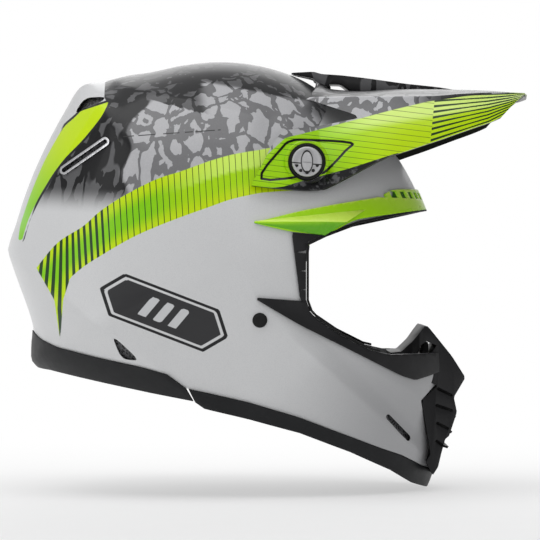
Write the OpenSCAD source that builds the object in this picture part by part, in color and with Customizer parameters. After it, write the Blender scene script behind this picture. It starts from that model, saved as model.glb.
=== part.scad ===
// Motocross helmet: moulded shell, adjustable peak, vented chin bar, liners and a D-ring chin strap.
// Frame: origin at the centre of the wearer's head, +X forward, +Y to the wearer's left, +Z up.

/* [Shell] */
// Half of the widest part of the shell
shell_half_width = 127; // [124:0.5:130]
// Thickness of the moulded shell
shell_wall = 3.6; // [3.2:0.1:4]
// Space between the shell and the foam, which holds the vent screens
foam_gap = 2; // [1.8:0.1:2.4]

/* [Peak] */
// Thickness of the moulded peak
peak_wall = 2.4; // [2:0.1:2.8]
// Clearance between the peak's arms and the shell
peak_clearance = 4.6; // [4.2:0.1:5]
// How far forward the tip of the peak reaches
peak_tip_x = 218; // [210:1:224]

/* [Chin strap] */
// Width of the webbing
webbing_w = 24; // [20:1:25]
// Thickness of the webbing
webbing_t = 1.6; // [1.4:0.1:1.8]
// Radius of the D-ring wire
ring_wire_r = 1.6; // [1.4:0.1:1.8]

/* [Detail] */
// Steps round the outline of the shell
round_steps = 60; // [44:4:64]
// Steps from the middle plane to the side of the shell
side_steps = 8; // [6:1:9]
// Steps round the outline of the liners
liner_round_steps = 44; // [36:4:60]
// Steps from the middle plane to the side of the liners
liner_side_steps = 6; // [5:1:8]

/* [Hidden] */
$fn = 48;
far = 400;
fit_gap = 0.3;

// Side outline of the shell, [x, z], once round from straight ahead over the crown
shell_outline = [
    [154, 0], [148, 22], [141, 41], [133, 59], [122, 77.5], [98, 102], [70, 123], [54, 133.3], [43, 138.3],
    [20, 144.8], [-6, 147.6], [-34, 145.2], [-62, 138.8], [-88, 134.6], [-105, 132], [-112.5, 128], [-123, 111],
    [-134, 91], [-146, 65], [-156, 37], [-165.5, 9], [-168, -14], [-170, -38], [-174, -59], [-183, -77],
    [-188, -96], [-150, -128], [-80, -145], [0, -152], [50, -172], [100, -180], [138, -171], [148, -153],
    [154, -132], [160, -108], [163, -88], [162, -66], [159, -34]
];
// Side outline of the space inside the foam
cavity_outline = [
    [118, 0], [108, 30], [98, 55], [80, 82], [50, 102], [18, 110], [-14, 111], [-48, 104], [-80, 85],
    [-103, 52], [-112, 10], [-110, -30], [-103, -70], [-92, -110], [-60, -150], [0, -165], [60, -180],
    [105, -168], [124, -150], [131, -128], [135, -108], [137, -88], [136, -66], [130, -34]
];
// Fullness of the cross-sections against the angle round the outline: [degrees, exponent]
shell_fullness = [[-46, 1.9], [-35, 1.8], [0, 2], [90, 2], [130, 2.2], [180, 2.2], [230, 2.6], [270, 3],
    [300, 2.4], [314, 1.9], [325, 1.8], [360, 2]];
cavity_fullness = [[-46, 2], [0, 2.2], [90, 2.2], [180, 2.3], [270, 2.6], [314, 2], [360, 2.2]];

// Bearings of the outline's sharp corners, in degrees
shell_corners = [131.3, 176.9];

// Creases moulded into the shell: [from, to, height, reach above, reach below], all seen from the side
shell_ridges = [
    [[-83, 126], [22, 99], 3.5, 14, 40],
    [[58, -64], [143, -143], 3.5, 16, 26],
    [[62, -52], [137, -98], 2, 10, 12],
    [[-88, 118], [-146, 28], 3, 30, 12]
];
// The skirt tucks in below this line, at this slope
skirt_fold = [[-165, 9], [-32, -90], 0.49];

peak_pivot = [54, 70];
top_screw_angle = 9.6;
strap_pivot = [21, -41];
eyeport = [
    [55.4, 12], [55.4, -27], [58, -34], [63, -39.5], [80, -51], [100, -61], [114, -64], [200, -64],
    [200, 44], [141, 37.5], [92, 27.5], [72, 20]
];
brow_outline = [
    [16, 27], [42, 21], [63, 19], [74, 22], [85, 28], [92, 30.5], [150, 39.5], [150, 54], [116, 52],
    [106, 46], [77, 41], [49, 35.5]
];
side_column = [[43, 23], [49.5, -29], [57, -29], [57, 14], [74, 23], [92, 31], [60, 24]];
chin_trim_outline = [
    [16, -25], [49, -27.5], [58, -27], [58, -34], [63, -39.5], [80, -51], [100, -61], [118, -64],
    [160, -64], [162, -76], [144, -82], [132.5, -85], [122, -81.5], [85, -62.5], [49, -44.5]
];
mouth_hole = [[157, -80], [137, -100], [144, -139], [141.5, -145], [147, -156], [200, -165], [200, -60], [157, -64]];
base_edge = [
    [-200, -50], [-146, -50], [-136, -56], [-123, -61], [-93, -68], [-63, -74], [-44, -79], [-31, -88.7],
    [-29, -89.3], [-14, -92.5], [14, -99], [49, -109.5], [85, -123.5], [121, -138], [148, -153], [200, -180]
];
trim_bottom_rear = [[-26, -98.2], [-57, -92.8], [-93, -85.8], [-131, -78.2], [-200, -72]];
trim_bottom_front = [
    [152, -168], [143, -165], [130, -159.5], [114, -149], [85, -135], [49, -120.8], [14, -111.2], [-18, -103.6],
    [-24.5, -99]
];
side_slot = [[-119, 65.5], [-89, 85]];
chin_slot = [[112, -111], [126, -126]];
rear_vent = [[-83, -51], [-63, -69.5], [-74, -69], [-78, -65]];
exhaust_vent = [[-114, 106], [-106, 118.5], [-90, 118.5], [-92, 114.5]];

// ---- Curves and curved solids ----

function span(x, points, i = 0) = i >= len(points) - 2 || x < points[i + 1][0] ? i : span(x, points, i + 1);
function slope(points, i) =
    let (a = points[max(i - 1, 0)], b = points[min(i + 1, len(points) - 1)]) (b[1] - a[1]) / (b[0] - a[0]);
// Smooth curve through points [x, value]
function curve(x, points) =
    let (
        i = span(x, points),
        a = points[i],
        b = points[i + 1],
        h = b[0] - a[0],
        f = min(max((x - a[0]) / h, 0), 1)
    )
    (2 * f^3 - 3 * f^2 + 1) * a[1] + (f^3 - 2 * f^2 + f) * h * slope(points, i)
        + (3 * f^2 - 2 * f^3) * b[1] + (f^3 - f^2) * h * slope(points, i + 1);

// Rings are moved onto the sharp corners of an outline
function snapped(angle, corners) =
    let (near = [for (c = corners) if (abs(angle - c) < 3) c]) len(near) > 0 ? near[0] : angle;

function bearing(point) = (atan2(point[1], point[0]) + 360) % 360;
// An outline as [degrees, radius], run on past both ends of the turn
function polar(outline) =
    let (once = [for (p = outline) [bearing(p), norm(p)]], n = len(once))
    concat(
        [for (p = [once[n - 2], once[n - 1]]) p - [360, 0]],
        once,
        [for (p = [once[0], once[1]]) p + [360, 0]]
    );

// Zero below -w, x above w, and a smooth ramp between
function ramp(x, w = 3) = x <= -w ? 0 : x >= w ? x : (x + w)^2 / (4 * w);
function side_of(p, a, b) = let (d = (b - a) / norm(b - a)) (p[0] - a[0]) * -d[1] + (p[2] - a[1]) * d[0];
function along(p, a, b) = let (d = b - a) ((p[0] - a[0]) * d[0] + (p[2] - a[1]) * d[1]) / (d * d);
function fade(f) = let (g = min(max(f, 0), 1)) g * g * (3 - 2 * g);
function ridge(p, r) =
    let (s = side_of(p, r[0], r[1]), f = along(p, r[0], r[1]))
    r[2] * exp(-abs(s) / (s > 0 ? r[3] : r[4])) * fade(f * 5 + 0.5) * fade((1 - f) * 5 + 0.5);
function crease(p) =
    let (
        fold = skirt_fold[2] * ramp(-side_of(p, skirt_fold[0], skirt_fold[1])),
        lift = [for (r = shell_ridges) ridge(p, r)] * [1, 1, 1, 1]
    )
    p * (1 + (lift - fold) / max(norm(p), 1));

// A superellipse section at one bearing: a quarter turn from the middle plane (0) to the side (90)
function section(turn, angle, radius, half_width, fullness) =
    let (reach = radius * abs(cos(turn))^(2 / fullness), out = half_width * abs(sin(turn))^(2 / fullness))
    [reach * cos(angle), sign(turn) * out, reach * sin(angle)];

module bulk(outline, fullness, half_width, inset, steps, creased) {
    radii = polar(outline);
    turns = steps[0];
    across = 2 * steps[1] - 1;
    rings = [
        for (i = [0 : turns - 1])
            let (
                angle = snapped(360 * i / turns, creased ? shell_corners : []),
                radius = curve(angle, radii) - inset,
                e = curve(angle, fullness)
            )
            for (j = [1 - steps[1] : steps[1] - 1])
                section(90 * j / steps[1], angle, radius, half_width - inset, e)
    ];
    placed = creased ? [for (p = rings) crease(p)] : rings;
    right = len(placed);
    function at(i, j) = (i % turns) * across + j;
    polyhedron(
        points = concat(placed, [[0, inset - half_width, 0], [0, half_width - inset, 0]]),
        faces = concat(
            [for (i = [0 : turns - 1], j = [0 : across - 2]) [at(i, j), at(i + 1, j), at(i, j + 1)]],
            [for (i = [0 : turns - 1], j = [0 : across - 2]) [at(i + 1, j), at(i + 1, j + 1), at(i, j + 1)]],
            [for (i = [0 : turns - 1]) [right, at(i + 1, 0), at(i, 0)]],
            [for (i = [0 : turns - 1]) [right + 1, at(i, across - 1), at(i + 1, across - 1)]]
        )
    );
}

module shell_bulk(inset)
    bulk(shell_outline, shell_fullness, shell_half_width, inset, [round_steps, side_steps], true);
module cavity_bulk(inset, half_width = 88)
    bulk(cavity_outline, cavity_fullness, half_width, inset, [liner_round_steps, liner_side_steps], false);

// Cuts curved solids as one mesh
module as_mesh() resize([0, 0, 0]) children();
// A flat outline, [x, z], carried right across the helmet
module across(width = far) rotate([90, 0, 0]) linear_extrude(height = width, center = true) children();
// The part of a layer of the shell that lies inside its child
module layer(outer, inner) as_mesh() difference() {
    intersection() {
        shell_bulk(outer);
        children();
    }
    shell_bulk(inner);
}
module slot(ends, r) hull() for (p = ends) translate(p) circle(r, $fn = 20);
module above_base() polygon(concat(base_edge, [[200, 200], [-200, 200]]));
module both_sides() {
    children();
    mirror([0, 1, 0]) children();
}
// A round feature across the shell: its axis is along Y, and y runs outwards
module round_at(place, y, length, r) translate([place[0], -y, place[1]]) rotate([90, 0, 0]) cylinder(r = r, h = length);

// ---- Shell ----

module outer_shell() color("gainsboro") layer(0, shell_wall) difference() {
    across() above_base();
    across() offset(2) polygon(eyeport);
    across() polygon(mouth_hole);
    across() slot(side_slot, 3.6);
    across() slot(chin_slot, 2.2);
    across() polygon(rear_vent);
    across() polygon(exhaust_vent);
    across() translate(peak_pivot) circle(7.4, $fn = 24);
    across() translate(strap_pivot) circle(2.9, $fn = 24);
    top_screw_frame() cylinder(r = 4.5, h = 90, $fn = 24);
    translate([134, 0, 47]) cube([40, 58, 5], center = true);
    mouth_block(fit_gap);
}

module shell_rivets() color("dimgray") both_sides() {
    round_at(strap_pivot, 125.6, 2.4, 5);
    round_at(strap_pivot, 114.1, 11.5, 2.5);
    round_at(strap_pivot, 112.6, 1.5, 5);
}

// ---- Peak ----

// The peak's lines against x: its centre, its shoulder and its rim
peak_centre = [
    [44, 131.4], [64, 131.2], [72, 127.8], [87, 126.2], [100, 126], [124, 127.2], [161, 127], [198, 125.5],
    [218, 122.5]
];
peak_shoulder_z = [
    [10, 112], [35, 114], [57, 117], [85, 117.3], [142, 117.5], [165, 119.7], [195, 122], [218, 122]
];
peak_shoulder_y = [[10, 66], [35, 66], [57, 67], [85, 75], [121, 80], [142, 78], [165, 70], [195, 52], [218, 38]];
peak_rim_z = [
    [10, 54], [35, 51.5], [62, 50.5], [74, 55], [106, 71.5], [130, 80.2], [150, 87], [170, 94.3], [190, 101.8],
    [205, 110], [212, 115.5], [218, 120]
];
peak_rim_y = [
    [10, 116], [35, 116], [62, 112], [74, 111], [106, 107], [120, 103], [156, 93], [194, 72], [210, 54], [218, 44]
];
peak_rear = [[0, 64], [0.2, 63.5], [0.4, 59], [0.5, 54], [0.6, 28], [0.7, 18], [1, 12]];
peak_front = [[0, 0], [0.2, -1], [0.4, -3], [0.6, -7], [0.8, -13], [0.92, -19], [1, -24]];
peak_columns = 14;
peak_rows = 14;
// The rear edge of the arms and the slot above them, seen from the side
peak_rear_cut = [
    [-50, 116], [50, 116], [56, 116.6], [89, 104.6], [90.5, 102], [70, 98], [37, 92.7], [30, 83], [22, 67], [15, 54],
    [14.5, 40], [-50, 40]
];

// Half the shell's width at [x, z], for a layer that is out from the shell
function shell_y(x, z, out) =
    let (
        angle = bearing([x, z]),
        e = curve(angle, shell_fullness),
        f = norm([x, z]) / (curve(angle, polar(shell_outline)) + out)
    )
    f >= 1 ? 0 : (shell_half_width + out) * (1 - f^e)^(1 / e);

// Height of the crown above [x, y], for a layer that is out from the shell
function crown_z(x, y, out, z = 125, tries = 4) =
    let (
        angle = bearing([x, z]),
        e = curve(angle, shell_fullness),
        reach = (curve(angle, polar(shell_outline)) + out) * (1 - (y / (shell_half_width + out))^e)^(1 / e)
    )
    reach <= abs(x) ? 0 : tries == 0 ? sqrt(reach^2 - x^2) : crown_z(x, y, out, sqrt(reach^2 - x^2), tries - 1);

// The peak's outer face at station x, from its centre line (0) over its shoulder (0.5) to its rim (1)
function peak_section(x, across) =
    let (
        sy = curve(x, peak_shoulder_y),
        sz = curve(x, peak_shoulder_z),
        f = across < 0.5 ? across * 2 : across * 2 - 1,
        y = across < 0.5 ? sy * f : sy + (curve(x, peak_rim_y) - sy) * f + 3 * sin(180 * f),
        z = across < 0.5 ? curve(x, peak_centre) + (sz - curve(x, peak_centre)) * f^2.2
            : sz + (curve(x, peak_rim_z) - sz) * f
    )
    across < 0.5 ? [x, y, max(z, crown_z(x, y, peak_wall + 1.6))]
        : [x, max(y, shell_y(x, z, peak_clearance + peak_wall)), z];

function peak_point(along, across) =
    let (
        back = curve(abs(across), peak_rear),
        front = peak_tip_x + curve(abs(across), peak_front),
        p = peak_section(back + (front - back) * along, abs(across))
    )
    [p[0], sign(across) * p[1], p[2]];

function unit(v) = v / norm(v);
function peak_normal(along, across) =
    let (
        d = 0.01,
        a = peak_point(min(along + d, 1), across) - peak_point(max(along - d, 0), across),
        b = peak_point(along, min(across + d, 1)) - peak_point(along, max(across - d, -1))
    )
    unit(cross(a, b));

// A closed sheet between two grids of points, each a list of rows
module sheet(top, bottom) {
    rows = len(top);
    columns = len(top[0]);
    count = rows * columns;
    function at(i, j, side) = side * count + i * columns + j;
    rim = concat(
        [for (j = [0 : columns - 1]) [0, j]],
        [for (i = [1 : rows - 1]) [i, columns - 1]],
        [for (j = [columns - 2 : -1 : 0]) [rows - 1, j]],
        [for (i = [rows - 2 : -1 : 1]) [i, 0]]
    );
    polyhedron(
        points = concat([for (row = top, p = row) p], [for (row = bottom, p = row) p]),
        faces = concat(
            [for (i = [0 : rows - 2], j = [0 : columns - 2], f = [0, 1])
                f == 0 ? [at(i, j, 0), at(i, j + 1, 0), at(i + 1, j, 0)]
                    : [at(i + 1, j, 0), at(i, j + 1, 0), at(i + 1, j + 1, 0)]],
            [for (i = [0 : rows - 2], j = [0 : columns - 2], f = [0, 1])
                f == 0 ? [at(i, j, 1), at(i + 1, j, 1), at(i, j + 1, 1)]
                    : [at(i + 1, j, 1), at(i + 1, j + 1, 1), at(i, j + 1, 1)]],
            [for (k = [0 : len(rim) - 1], f = [0, 1])
                let (a = rim[k], b = rim[(k + 1) % len(rim)])
                f == 0 ? [at(a[0], a[1], 1), at(b[0], b[1], 1), at(a[0], a[1], 0)]
                    : [at(b[0], b[1], 1), at(b[0], b[1], 0), at(a[0], a[1], 0)]]
        )
    );
}

module peak_sheet() {
    grid = [for (i = [0 : peak_rows]) [for (j = [-peak_columns : peak_columns]) [i / peak_rows, j / peak_columns]]];
    top = [for (row = grid) [for (g = row) peak_point(g[0], g[1])]];
    bottom = [for (row = grid) [for (g = row) peak_point(g[0], g[1]) - peak_wall * peak_normal(g[0], g[1])]];
    sheet(top, bottom);
}

// The top screw's axis leaves the line of the peak's pivots at right angles
module top_screw_frame() translate([peak_pivot[0], 0, peak_pivot[1]]) rotate([0, top_screw_angle, 0]) children();

bush_inner_y = 109.4;
bush_outer_y = 115.2;
module peak() color("yellowgreen") as_mesh() difference() {
    union() {
        peak_sheet();
        difference() {
            both_sides() round_at(peak_pivot, 94, bush_outer_y - 94, 15.6);
            shell_bulk(-peak_clearance);
        }
    }
    across() polygon(peak_rear_cut);
    across() translate(peak_pivot) circle(13.3, $fn = 32);
    translate([40, -5.6, 100]) cube([31, 11.2, 60]);
}

// A sector of a ring about the peak's pivot, between two angles from straight up
module pivot_sector(inner, outer, from, to, half_w) translate([peak_pivot[0], 0, peak_pivot[1]]) rotate([90, 0, 0])
    linear_extrude(height = 2 * half_w, center = true) polygon(concat(
        [for (i = [0 : 6]) let (a = from + (to - from) * i / 6) outer * [sin(a), cos(a)]],
        [for (i = [6 : -1 : 0]) let (a = from + (to - from) * i / 6) inner * [sin(a), cos(a)]]
    ));

bridge_outline = [
    [43.6, 139.6], [60, 140.2], [66.5, 138.2], [81, 137.2], [99, 135.2], [127, 131.6], [152, 129.3], [166, 127.2],
    [140, 127], [110, 126.3], [88, 126], [84, 128.2], [80, 131], [71.5, 131.2], [73, 127.6], [67, 130.4],
    [61, 133.4], [60, 135.2], [46, 138.3]
];
module peak_bridge() color("darkslategray") as_mesh() difference() {
    intersection() {
        across() polygon(bridge_outline);
        linear_extrude(height = far) polygon([
            [43, -9], [58, -12], [72, -17], [100, -15], [167, -2], [167, 2], [100, 15], [72, 17], [58, 12], [43, 9]
        ]);
    }
    pivot_sector(67.4, 90, -5, top_screw_angle + 4.6, 5.1);
    pivot_sector(50, 90, -3.2, top_screw_angle + 2.8, 2.9);
    pivot_sector(50, 66, -5, top_screw_angle + 4.6, 5.6);
}

module peak_bush(side) color("black") scale([1, side, 1]) difference() {
    round_at(peak_pivot, bush_inner_y, bush_outer_y - bush_inner_y, 13);
    round_at(peak_pivot, bush_inner_y - 1, 20, 3.06);
}
module peak_bush_right() peak_bush(1);
module peak_bush_left() mirror([0, 1, 0]) peak_bush(1);

module peak_insert_nuts() color("silver") {
    both_sides() difference() {
        union() {
            round_at(peak_pivot, 87, 17.6, 7);
            round_at(peak_pivot, 82, 5, 9);
        }
        round_at(peak_pivot, 81, 27, 3.06);
    }
    top_screw_frame() difference() {
        union() {
            translate([0, 0, 49]) cylinder(r = 4.2, h = 10.5);
            translate([0, 0, 46.5]) cylinder(r = 7, h = 2.5);
        }
        translate([0, 0, 45]) cylinder(r = 2.56, h = 20);
    }
}

module side_screw() {
    difference() {
        round_at(peak_pivot, bush_outer_y + 1.6, 4.4, 10.5);
        for (a = [200 : 35 : 340])
            translate([peak_pivot[0] + 7.6 * cos(a), -bush_outer_y - 4.2, peak_pivot[1] + 7.6 * sin(a)])
                rotate([90, 0, 0]) cylinder(r = 1.1, h = 5, $fn = 24);
    }
    round_at(peak_pivot, bush_outer_y + 6, 1.2, 3.4);
    round_at(peak_pivot, 87, bush_outer_y - 85, 3);
}
module peak_screw_right() color("silver") side_screw();
module peak_screw_left() color("silver") mirror([0, 1, 0]) side_screw();
module peak_screw_top() color("silver") top_screw_frame() {
    translate([0, 0, 67.6]) cylinder(r = 4.6, h = 2.2);
    translate([0, 0, 47.5]) cylinder(r = 2.5, h = 20.2);
}
module peak_washer() difference() {
    round_at(peak_pivot, bush_outer_y + fit_gap, 1.2, 12.6);
    round_at(peak_pivot, bush_outer_y, 4, 3.1);
}
module peak_washer_right() color("black") peak_washer();
module peak_washer_left() color("black") mirror([0, 1, 0]) peak_washer();

// ---- Brow and eyeport ----

module brow_cover() color("yellowgreen") as_mesh() difference() {
    union() {
        intersection() {
            shell_bulk(-3.4);
            difference() {
                across() polygon(brow_outline);
                for (y = [-33 : 11 : 33]) translate([100, y - 3.6, 46]) cube([60, 7.2, 4.6]);
            }
        }
        both_sides() brow_fin();
    }
    shell_bulk(-fit_gap);
}
// The wedge that stands out from the cover above each corner of the eyeport
module brow_fin() hull() polyhedron(
    points = [
        [17, -123.6, 26.6], [93, -100, 38.5], [80, -117, 28.5], [63, -119.5, 19.5], [22, -122, 26.6], [88, -94, 37],
        [62, -113, 22]
    ],
    faces = [[0, 1, 2], [0, 2, 3], [0, 3, 6], [0, 6, 5], [0, 5, 1], [1, 5, 2], [2, 5, 6], [2, 6, 3], [0, 4, 3]]
);
module brow_screen() color("black") layer(-fit_gap + 0.5, 3.2) translate([120, -28, 45]) cube([60, 56, 4]);

module eyeport_gasket() color("black") {
    layer(-1.8, 9) difference() {
        across() offset(1.6) polygon(eyeport);
        across() polygon(eyeport);
        translate([106, -far / 2, -90]) cube([100, far, 42]);
    }
}

module chin_bar_trim() color("black") layer(-2.2, -fit_gap) difference() {
    union() {
        across() polygon(chin_trim_outline);
        across() polygon(side_column);
    }
    across() offset(2) polygon(eyeport);
    across() polygon(mouth_hole);
    across() offset(0.4) polygon(brow_outline);
    mouth_block(fit_gap);
}

// ---- Mouth vent ----

mouth_profile = [
    [140, -46.4], [142.5, -46.8], [160.5, -68.5], [171, -84.5], [162, -98.5], [164.4, -109.5], [158.4, -126.5],
    [155.4, -128.8], [152.4, -139], [150, -148.7], [146, -154.5], [141, -145], [144.4, -139], [137.6, -100],
    [150, -89.5], [134, -84], [122, -78], [115, -66], [123.5, -65], [131.5, -57.5]
];
mouth_plan = [[112, 43], [130, 46], [137, 55.5], [150, 47], [166, 34], [174, 26]];
window_half_w = 24;
window = [-138, -101];
// The solid that fills the mouth opening, grown all round by a gap
module mouth_block(gap) intersection() {
    across(130) offset(delta = gap) polygon(mouth_profile);
    translate([0, 0, -200]) linear_extrude(height = 200) offset(delta = gap)
        polygon(concat([for (p = mouth_plan) [p[0], -p[1]]], [for (i = [5 : -1 : 0]) mouth_plan[i]]));
}
module mouthpiece() color("black") difference() {
    mouth_block(0);
    translate([120, -window_half_w, window[0]]) cube([60, 2 * window_half_w, window[1] - window[0]]);
    across(200) polygon([[135, -66], [137, -60.5], [141, -57.5], [149, -60.5], [144.5, -66.5], [138, -69.5]]);
}
module breath_guard_screen() color("dimgray") for (i = [0 : 6])
    translate([140.5, -33 + 11 * i - 1.5, -68.2]) cube([3, 3, 9.5]);

module mouth_louvers() color("black") for (z = [-112, -123, -134])
    translate([0, 0, z]) rotate([90, 0, 0]) linear_extrude(height = 2 * window_half_w, center = true)
        polygon([[148, 2.5], [148, 0.5], [158 + (z + 134) * 0.25, -2.6], [159 + (z + 134) * 0.25, -1.2]]);

slot_pitch = 9;
// A plate with level slots, its lower edge at z
module slotted_plate(x, thickness, z, height, half_w) difference() {
    translate([x, -half_w, z]) cube([thickness, 2 * half_w, height]);
    for (k = [0 : 3]) translate([x - 1, -half_w + 3, z + 2.5 + slot_pitch * k])
        cube([thickness + 2, 2 * half_w - 6, 4.5]);
}
module mouth_screen() color("dimgray") slotted_plate(144.9, 1.2, window[0], 37, window_half_w);
module mouth_shutter() color("black") {
    slotted_plate(142.6, 1.6, window[0] + 1.2, 30.9, window_half_w - 1);
    translate([136, -8, window[0] + 1.2 + 7.6]) cube([7, 16, 3.2]);
}

// ---- Trims and vents ----

module base_trim(bottom, ends) {
    strip = concat(base_edge_between(ends), bottom);
    layer(-1.6, 7.2) across() polygon(strip);
}
function base_edge_between(ends) = [for (p = base_edge) if (p[0] >= ends[0] && p[0] <= ends[1]) p - [0, fit_gap]];
module base_trim_front() color("black") base_trim(trim_bottom_front, [-29, 160]);
module base_trim_rear() color("black") base_trim(trim_bottom_rear, [-200, -30]);

module side_vent_bezels() color("silver") layer(-1.2, shell_wall) across() difference() {
    slot(side_slot, 3.3);
    slot(side_slot, 1.7);
}
module vent_screen() color("black") layer(shell_wall + fit_gap, shell_wall + 1.3) across() children();
module side_vent_screens() vent_screen() slot(side_slot, 6);
module rear_vent_screens() vent_screen() offset(3) polygon(rear_vent);
module chin_vent_screens() vent_screen() slot(chin_slot, 4.5);
module exhaust_screens() vent_screen() offset(3) polygon(exhaust_vent);

// ---- Foam and liners ----

foam_inset = shell_wall + foam_gap;
// The crown's foam comes in a front and a rear half, which meet over the middle of the head
foam_joint_x = 6;
module crown_foam_front() color("dimgray") crown_foam([
    [foam_joint_x + 0.2, -26], [66, -26], [150, 30], [150, 190], [foam_joint_x + 0.2, 190]
]);
module crown_foam_rear() color("dimgray") crown_foam([
    [-180, -46], [-146, -48], [-96, -62], [-62, -56], [-46, -26], [foam_joint_x, -26], [foam_joint_x, 190], [-180, 190]
]);
module crown_foam(outline) as_mesh() difference() {
    intersection() {
        shell_bulk(foam_inset);
        across() polygon(outline);
    }
    cavity_bulk(0);
    across() offset(2) polygon(eyeport);
    across() translate(peak_pivot) circle(9.6, $fn = 24);
    top_screw_frame() cylinder(r = 7.6, h = 90, $fn = 24);
}
module chin_foam() color("dimgray") as_mesh() difference() {
    intersection() {
        shell_bulk(foam_inset + 1.8);
        across() polygon([[74, -54], [114, -72], [131, -90], [133, -128], [128, -132], [74, -112]]);
    }
    cavity_bulk(0);
    across() polygon(mouth_hole);
}
module crown_liner() color("darkslategray") as_mesh() difference() {
    intersection() {
        cavity_bulk(0.5);
        across() polygon([
            [-140, -32], [-96, -44], [-52, -38], [-42, -22], [50, -22], [62, 20], [86, 28], [150, 44], [150, 190],
            [-140, 190]
        ]);
    }
    cavity_bulk(8.5);
}
module neck_roll() color("black") as_mesh() difference() {
    intersection() {
        cavity_bulk(0.5);
        across() polygon([[-140, -48], [-97, -46.5], [-54, -40.5], [-52, -72], [-96, -82], [-140, -74]]);
    }
    cavity_bulk(15);
}
pad_outline = [
    [-42, -40], [40, -38], [64, -50], [70, -64], [64, -92], [50, -90], [43, -79], [-8, -77], [-32, -72], [-46, -56]
];
pad_outer_inset = 11;
module cheek_pads() as_mesh() difference() {
    intersection() {
        shell_bulk(pad_outer_inset + 3.6);
        across() offset(2) offset(-2) polygon(pad_outline);
    }
    cavity_bulk(0, half_width = 66);
}
module one_side(side) intersection() {
    children();
    translate([-far / 2, side > 0 ? 10 : -far - 10, -far / 2]) cube([far, far, far]);
}
module cheek_pad_right() color("darkslategray") as_mesh() one_side(-1) cheek_pads();
module cheek_pad_left() color("darkslategray") as_mesh() one_side(1) cheek_pads();
module cheek_pad_plates() color("gray") layer(pad_outer_inset, pad_outer_inset + 1.6) across() difference() {
    offset(-5) polygon(pad_outline);
    translate([strap_pivot[0] - 20, -80]) square([40, 48]);
}
module pad_pull_tabs() color("firebrick") both_sides() translate([52, -86, -101]) cube([9, 1.6, 12]);
module liner_snaps() color("silver") both_sides() for (p = [[-24, -52], [30, -50], [52, -66]])
    round_at(p, 106, 4.6, 4);

// ---- Chin strap ----

strap_x = strap_pivot[0];
strap_route_right = [
    [-117.4, -34], [-117, -50], [-114.6, -64], [-109, -78], [-100.6, -90], [-86, -98.5], [-66, -102.2],
    [-40, -102.5], [40, -102.5], [48, -103.4], [51, -106.4], [48, -110], [40, -111], [6, -111]
];
strap_route_left = [
    [117.4, -34], [117, -50], [114.6, -64], [109, -78], [100.6, -90], [88, -99.5], [75, -103.9], [66, -104]
];

// A band of webbing along a route, [y, z], as one closed tape
module webbing(route, width, thickness) {
    last = len(route) - 1;
    function tangent(i) = unit(route[min(i + 1, last)] - route[max(i - 1, 0)]);
    function edge(i, s) = route[i] + s * thickness / 2 * [-tangent(i)[1], tangent(i)[0]];
    translate([strap_x, 0, 0]) rotate([90, 0, 90]) linear_extrude(height = width, center = true)
        polygon(concat([for (i = [0 : last]) edge(i, 1)], [for (i = [last : -1 : 0]) edge(i, -1)]));
}
module chin_strap_right() color("black") difference() {
    webbing(strap_route_right, webbing_w, webbing_t);
    round_at(strap_pivot, 100, 40, 3.2);
}
module chin_strap_left() color("black") difference() {
    union() {
        webbing(strap_route_left, webbing_w, webbing_t);
        ring_loop(ring_wire_r + 1.7, webbing_w);
    }
    ring_loop(ring_wire_r + fit_gap, webbing_w + 2);
    mirror([0, 1, 0]) round_at(strap_pivot, 100, 40, 3.2);
}
ring_bars_y = [66, 61];
ring_z = -106.5;
// The space within a radius of both D-ring bars, where the webbing's end is sewn round them
module ring_loop(r, width) translate([strap_x, 0, ring_z]) rotate([90, 0, 90]) linear_extrude(height = width, center = true)
    hull() for (y = ring_bars_y) translate([y, 0]) circle(r);
module strap_anchor_plates() color("silver") both_sides() difference() {
    translate([strap_x - 10, -115.8, strap_pivot[1] - 9]) cube([20, 1.5, 18]);
    round_at(strap_pivot, 110, 20, 2.56);
}
sleeve_route = [[-84, -99.2], [-66, -102.2], [-40, -102.5], [-4, -102.5]];
module strap_sleeve() color("dimgray") difference() {
    webbing(sleeve_route, webbing_w + 5, webbing_t + 3.4);
    webbing([[-92, -96.3], [-84, -99.2], [-66, -102.2], [-40, -102.5], [4, -102.5]], webbing_w + 0.8, webbing_t + 0.8);
}
module strap_keeper() color("black") translate([strap_x, 18, -106.8]) difference() {
    cube([webbing_w + 4, 8, 13], center = true);
    cube([webbing_w + 0.8, 9, 10.6], center = true);
}
module strap_snap() color("silver") translate([strap_x, 9, -113.6]) cylinder(r = 5, h = 1.8);

// A D-shaped wire ring with its straight bar at y, reaching towards the middle
module d_ring(y, half_w, reach) translate([strap_x, y, ring_z]) {
    translate([-half_w, 0, 0]) rotate([0, 90, 0]) cylinder(r = ring_wire_r, h = 2 * half_w);
    for (s = [-1, 1]) translate([s * half_w, 0, 0]) {
        sphere(ring_wire_r);
        rotate([90, 0, 0]) cylinder(r = ring_wire_r, h = reach - half_w);
    }
    translate([0, half_w - reach, 0]) rotate([0, 0, 180]) rotate_extrude(angle = 180) translate([half_w, 0]) circle(ring_wire_r);
}
module d_ring_outer() color("silver") d_ring(ring_bars_y[0], 18.4, 34);
module d_ring_inner() color("silver") d_ring(ring_bars_y[1], 14.2, 24);

// ---- Output ----

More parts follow.
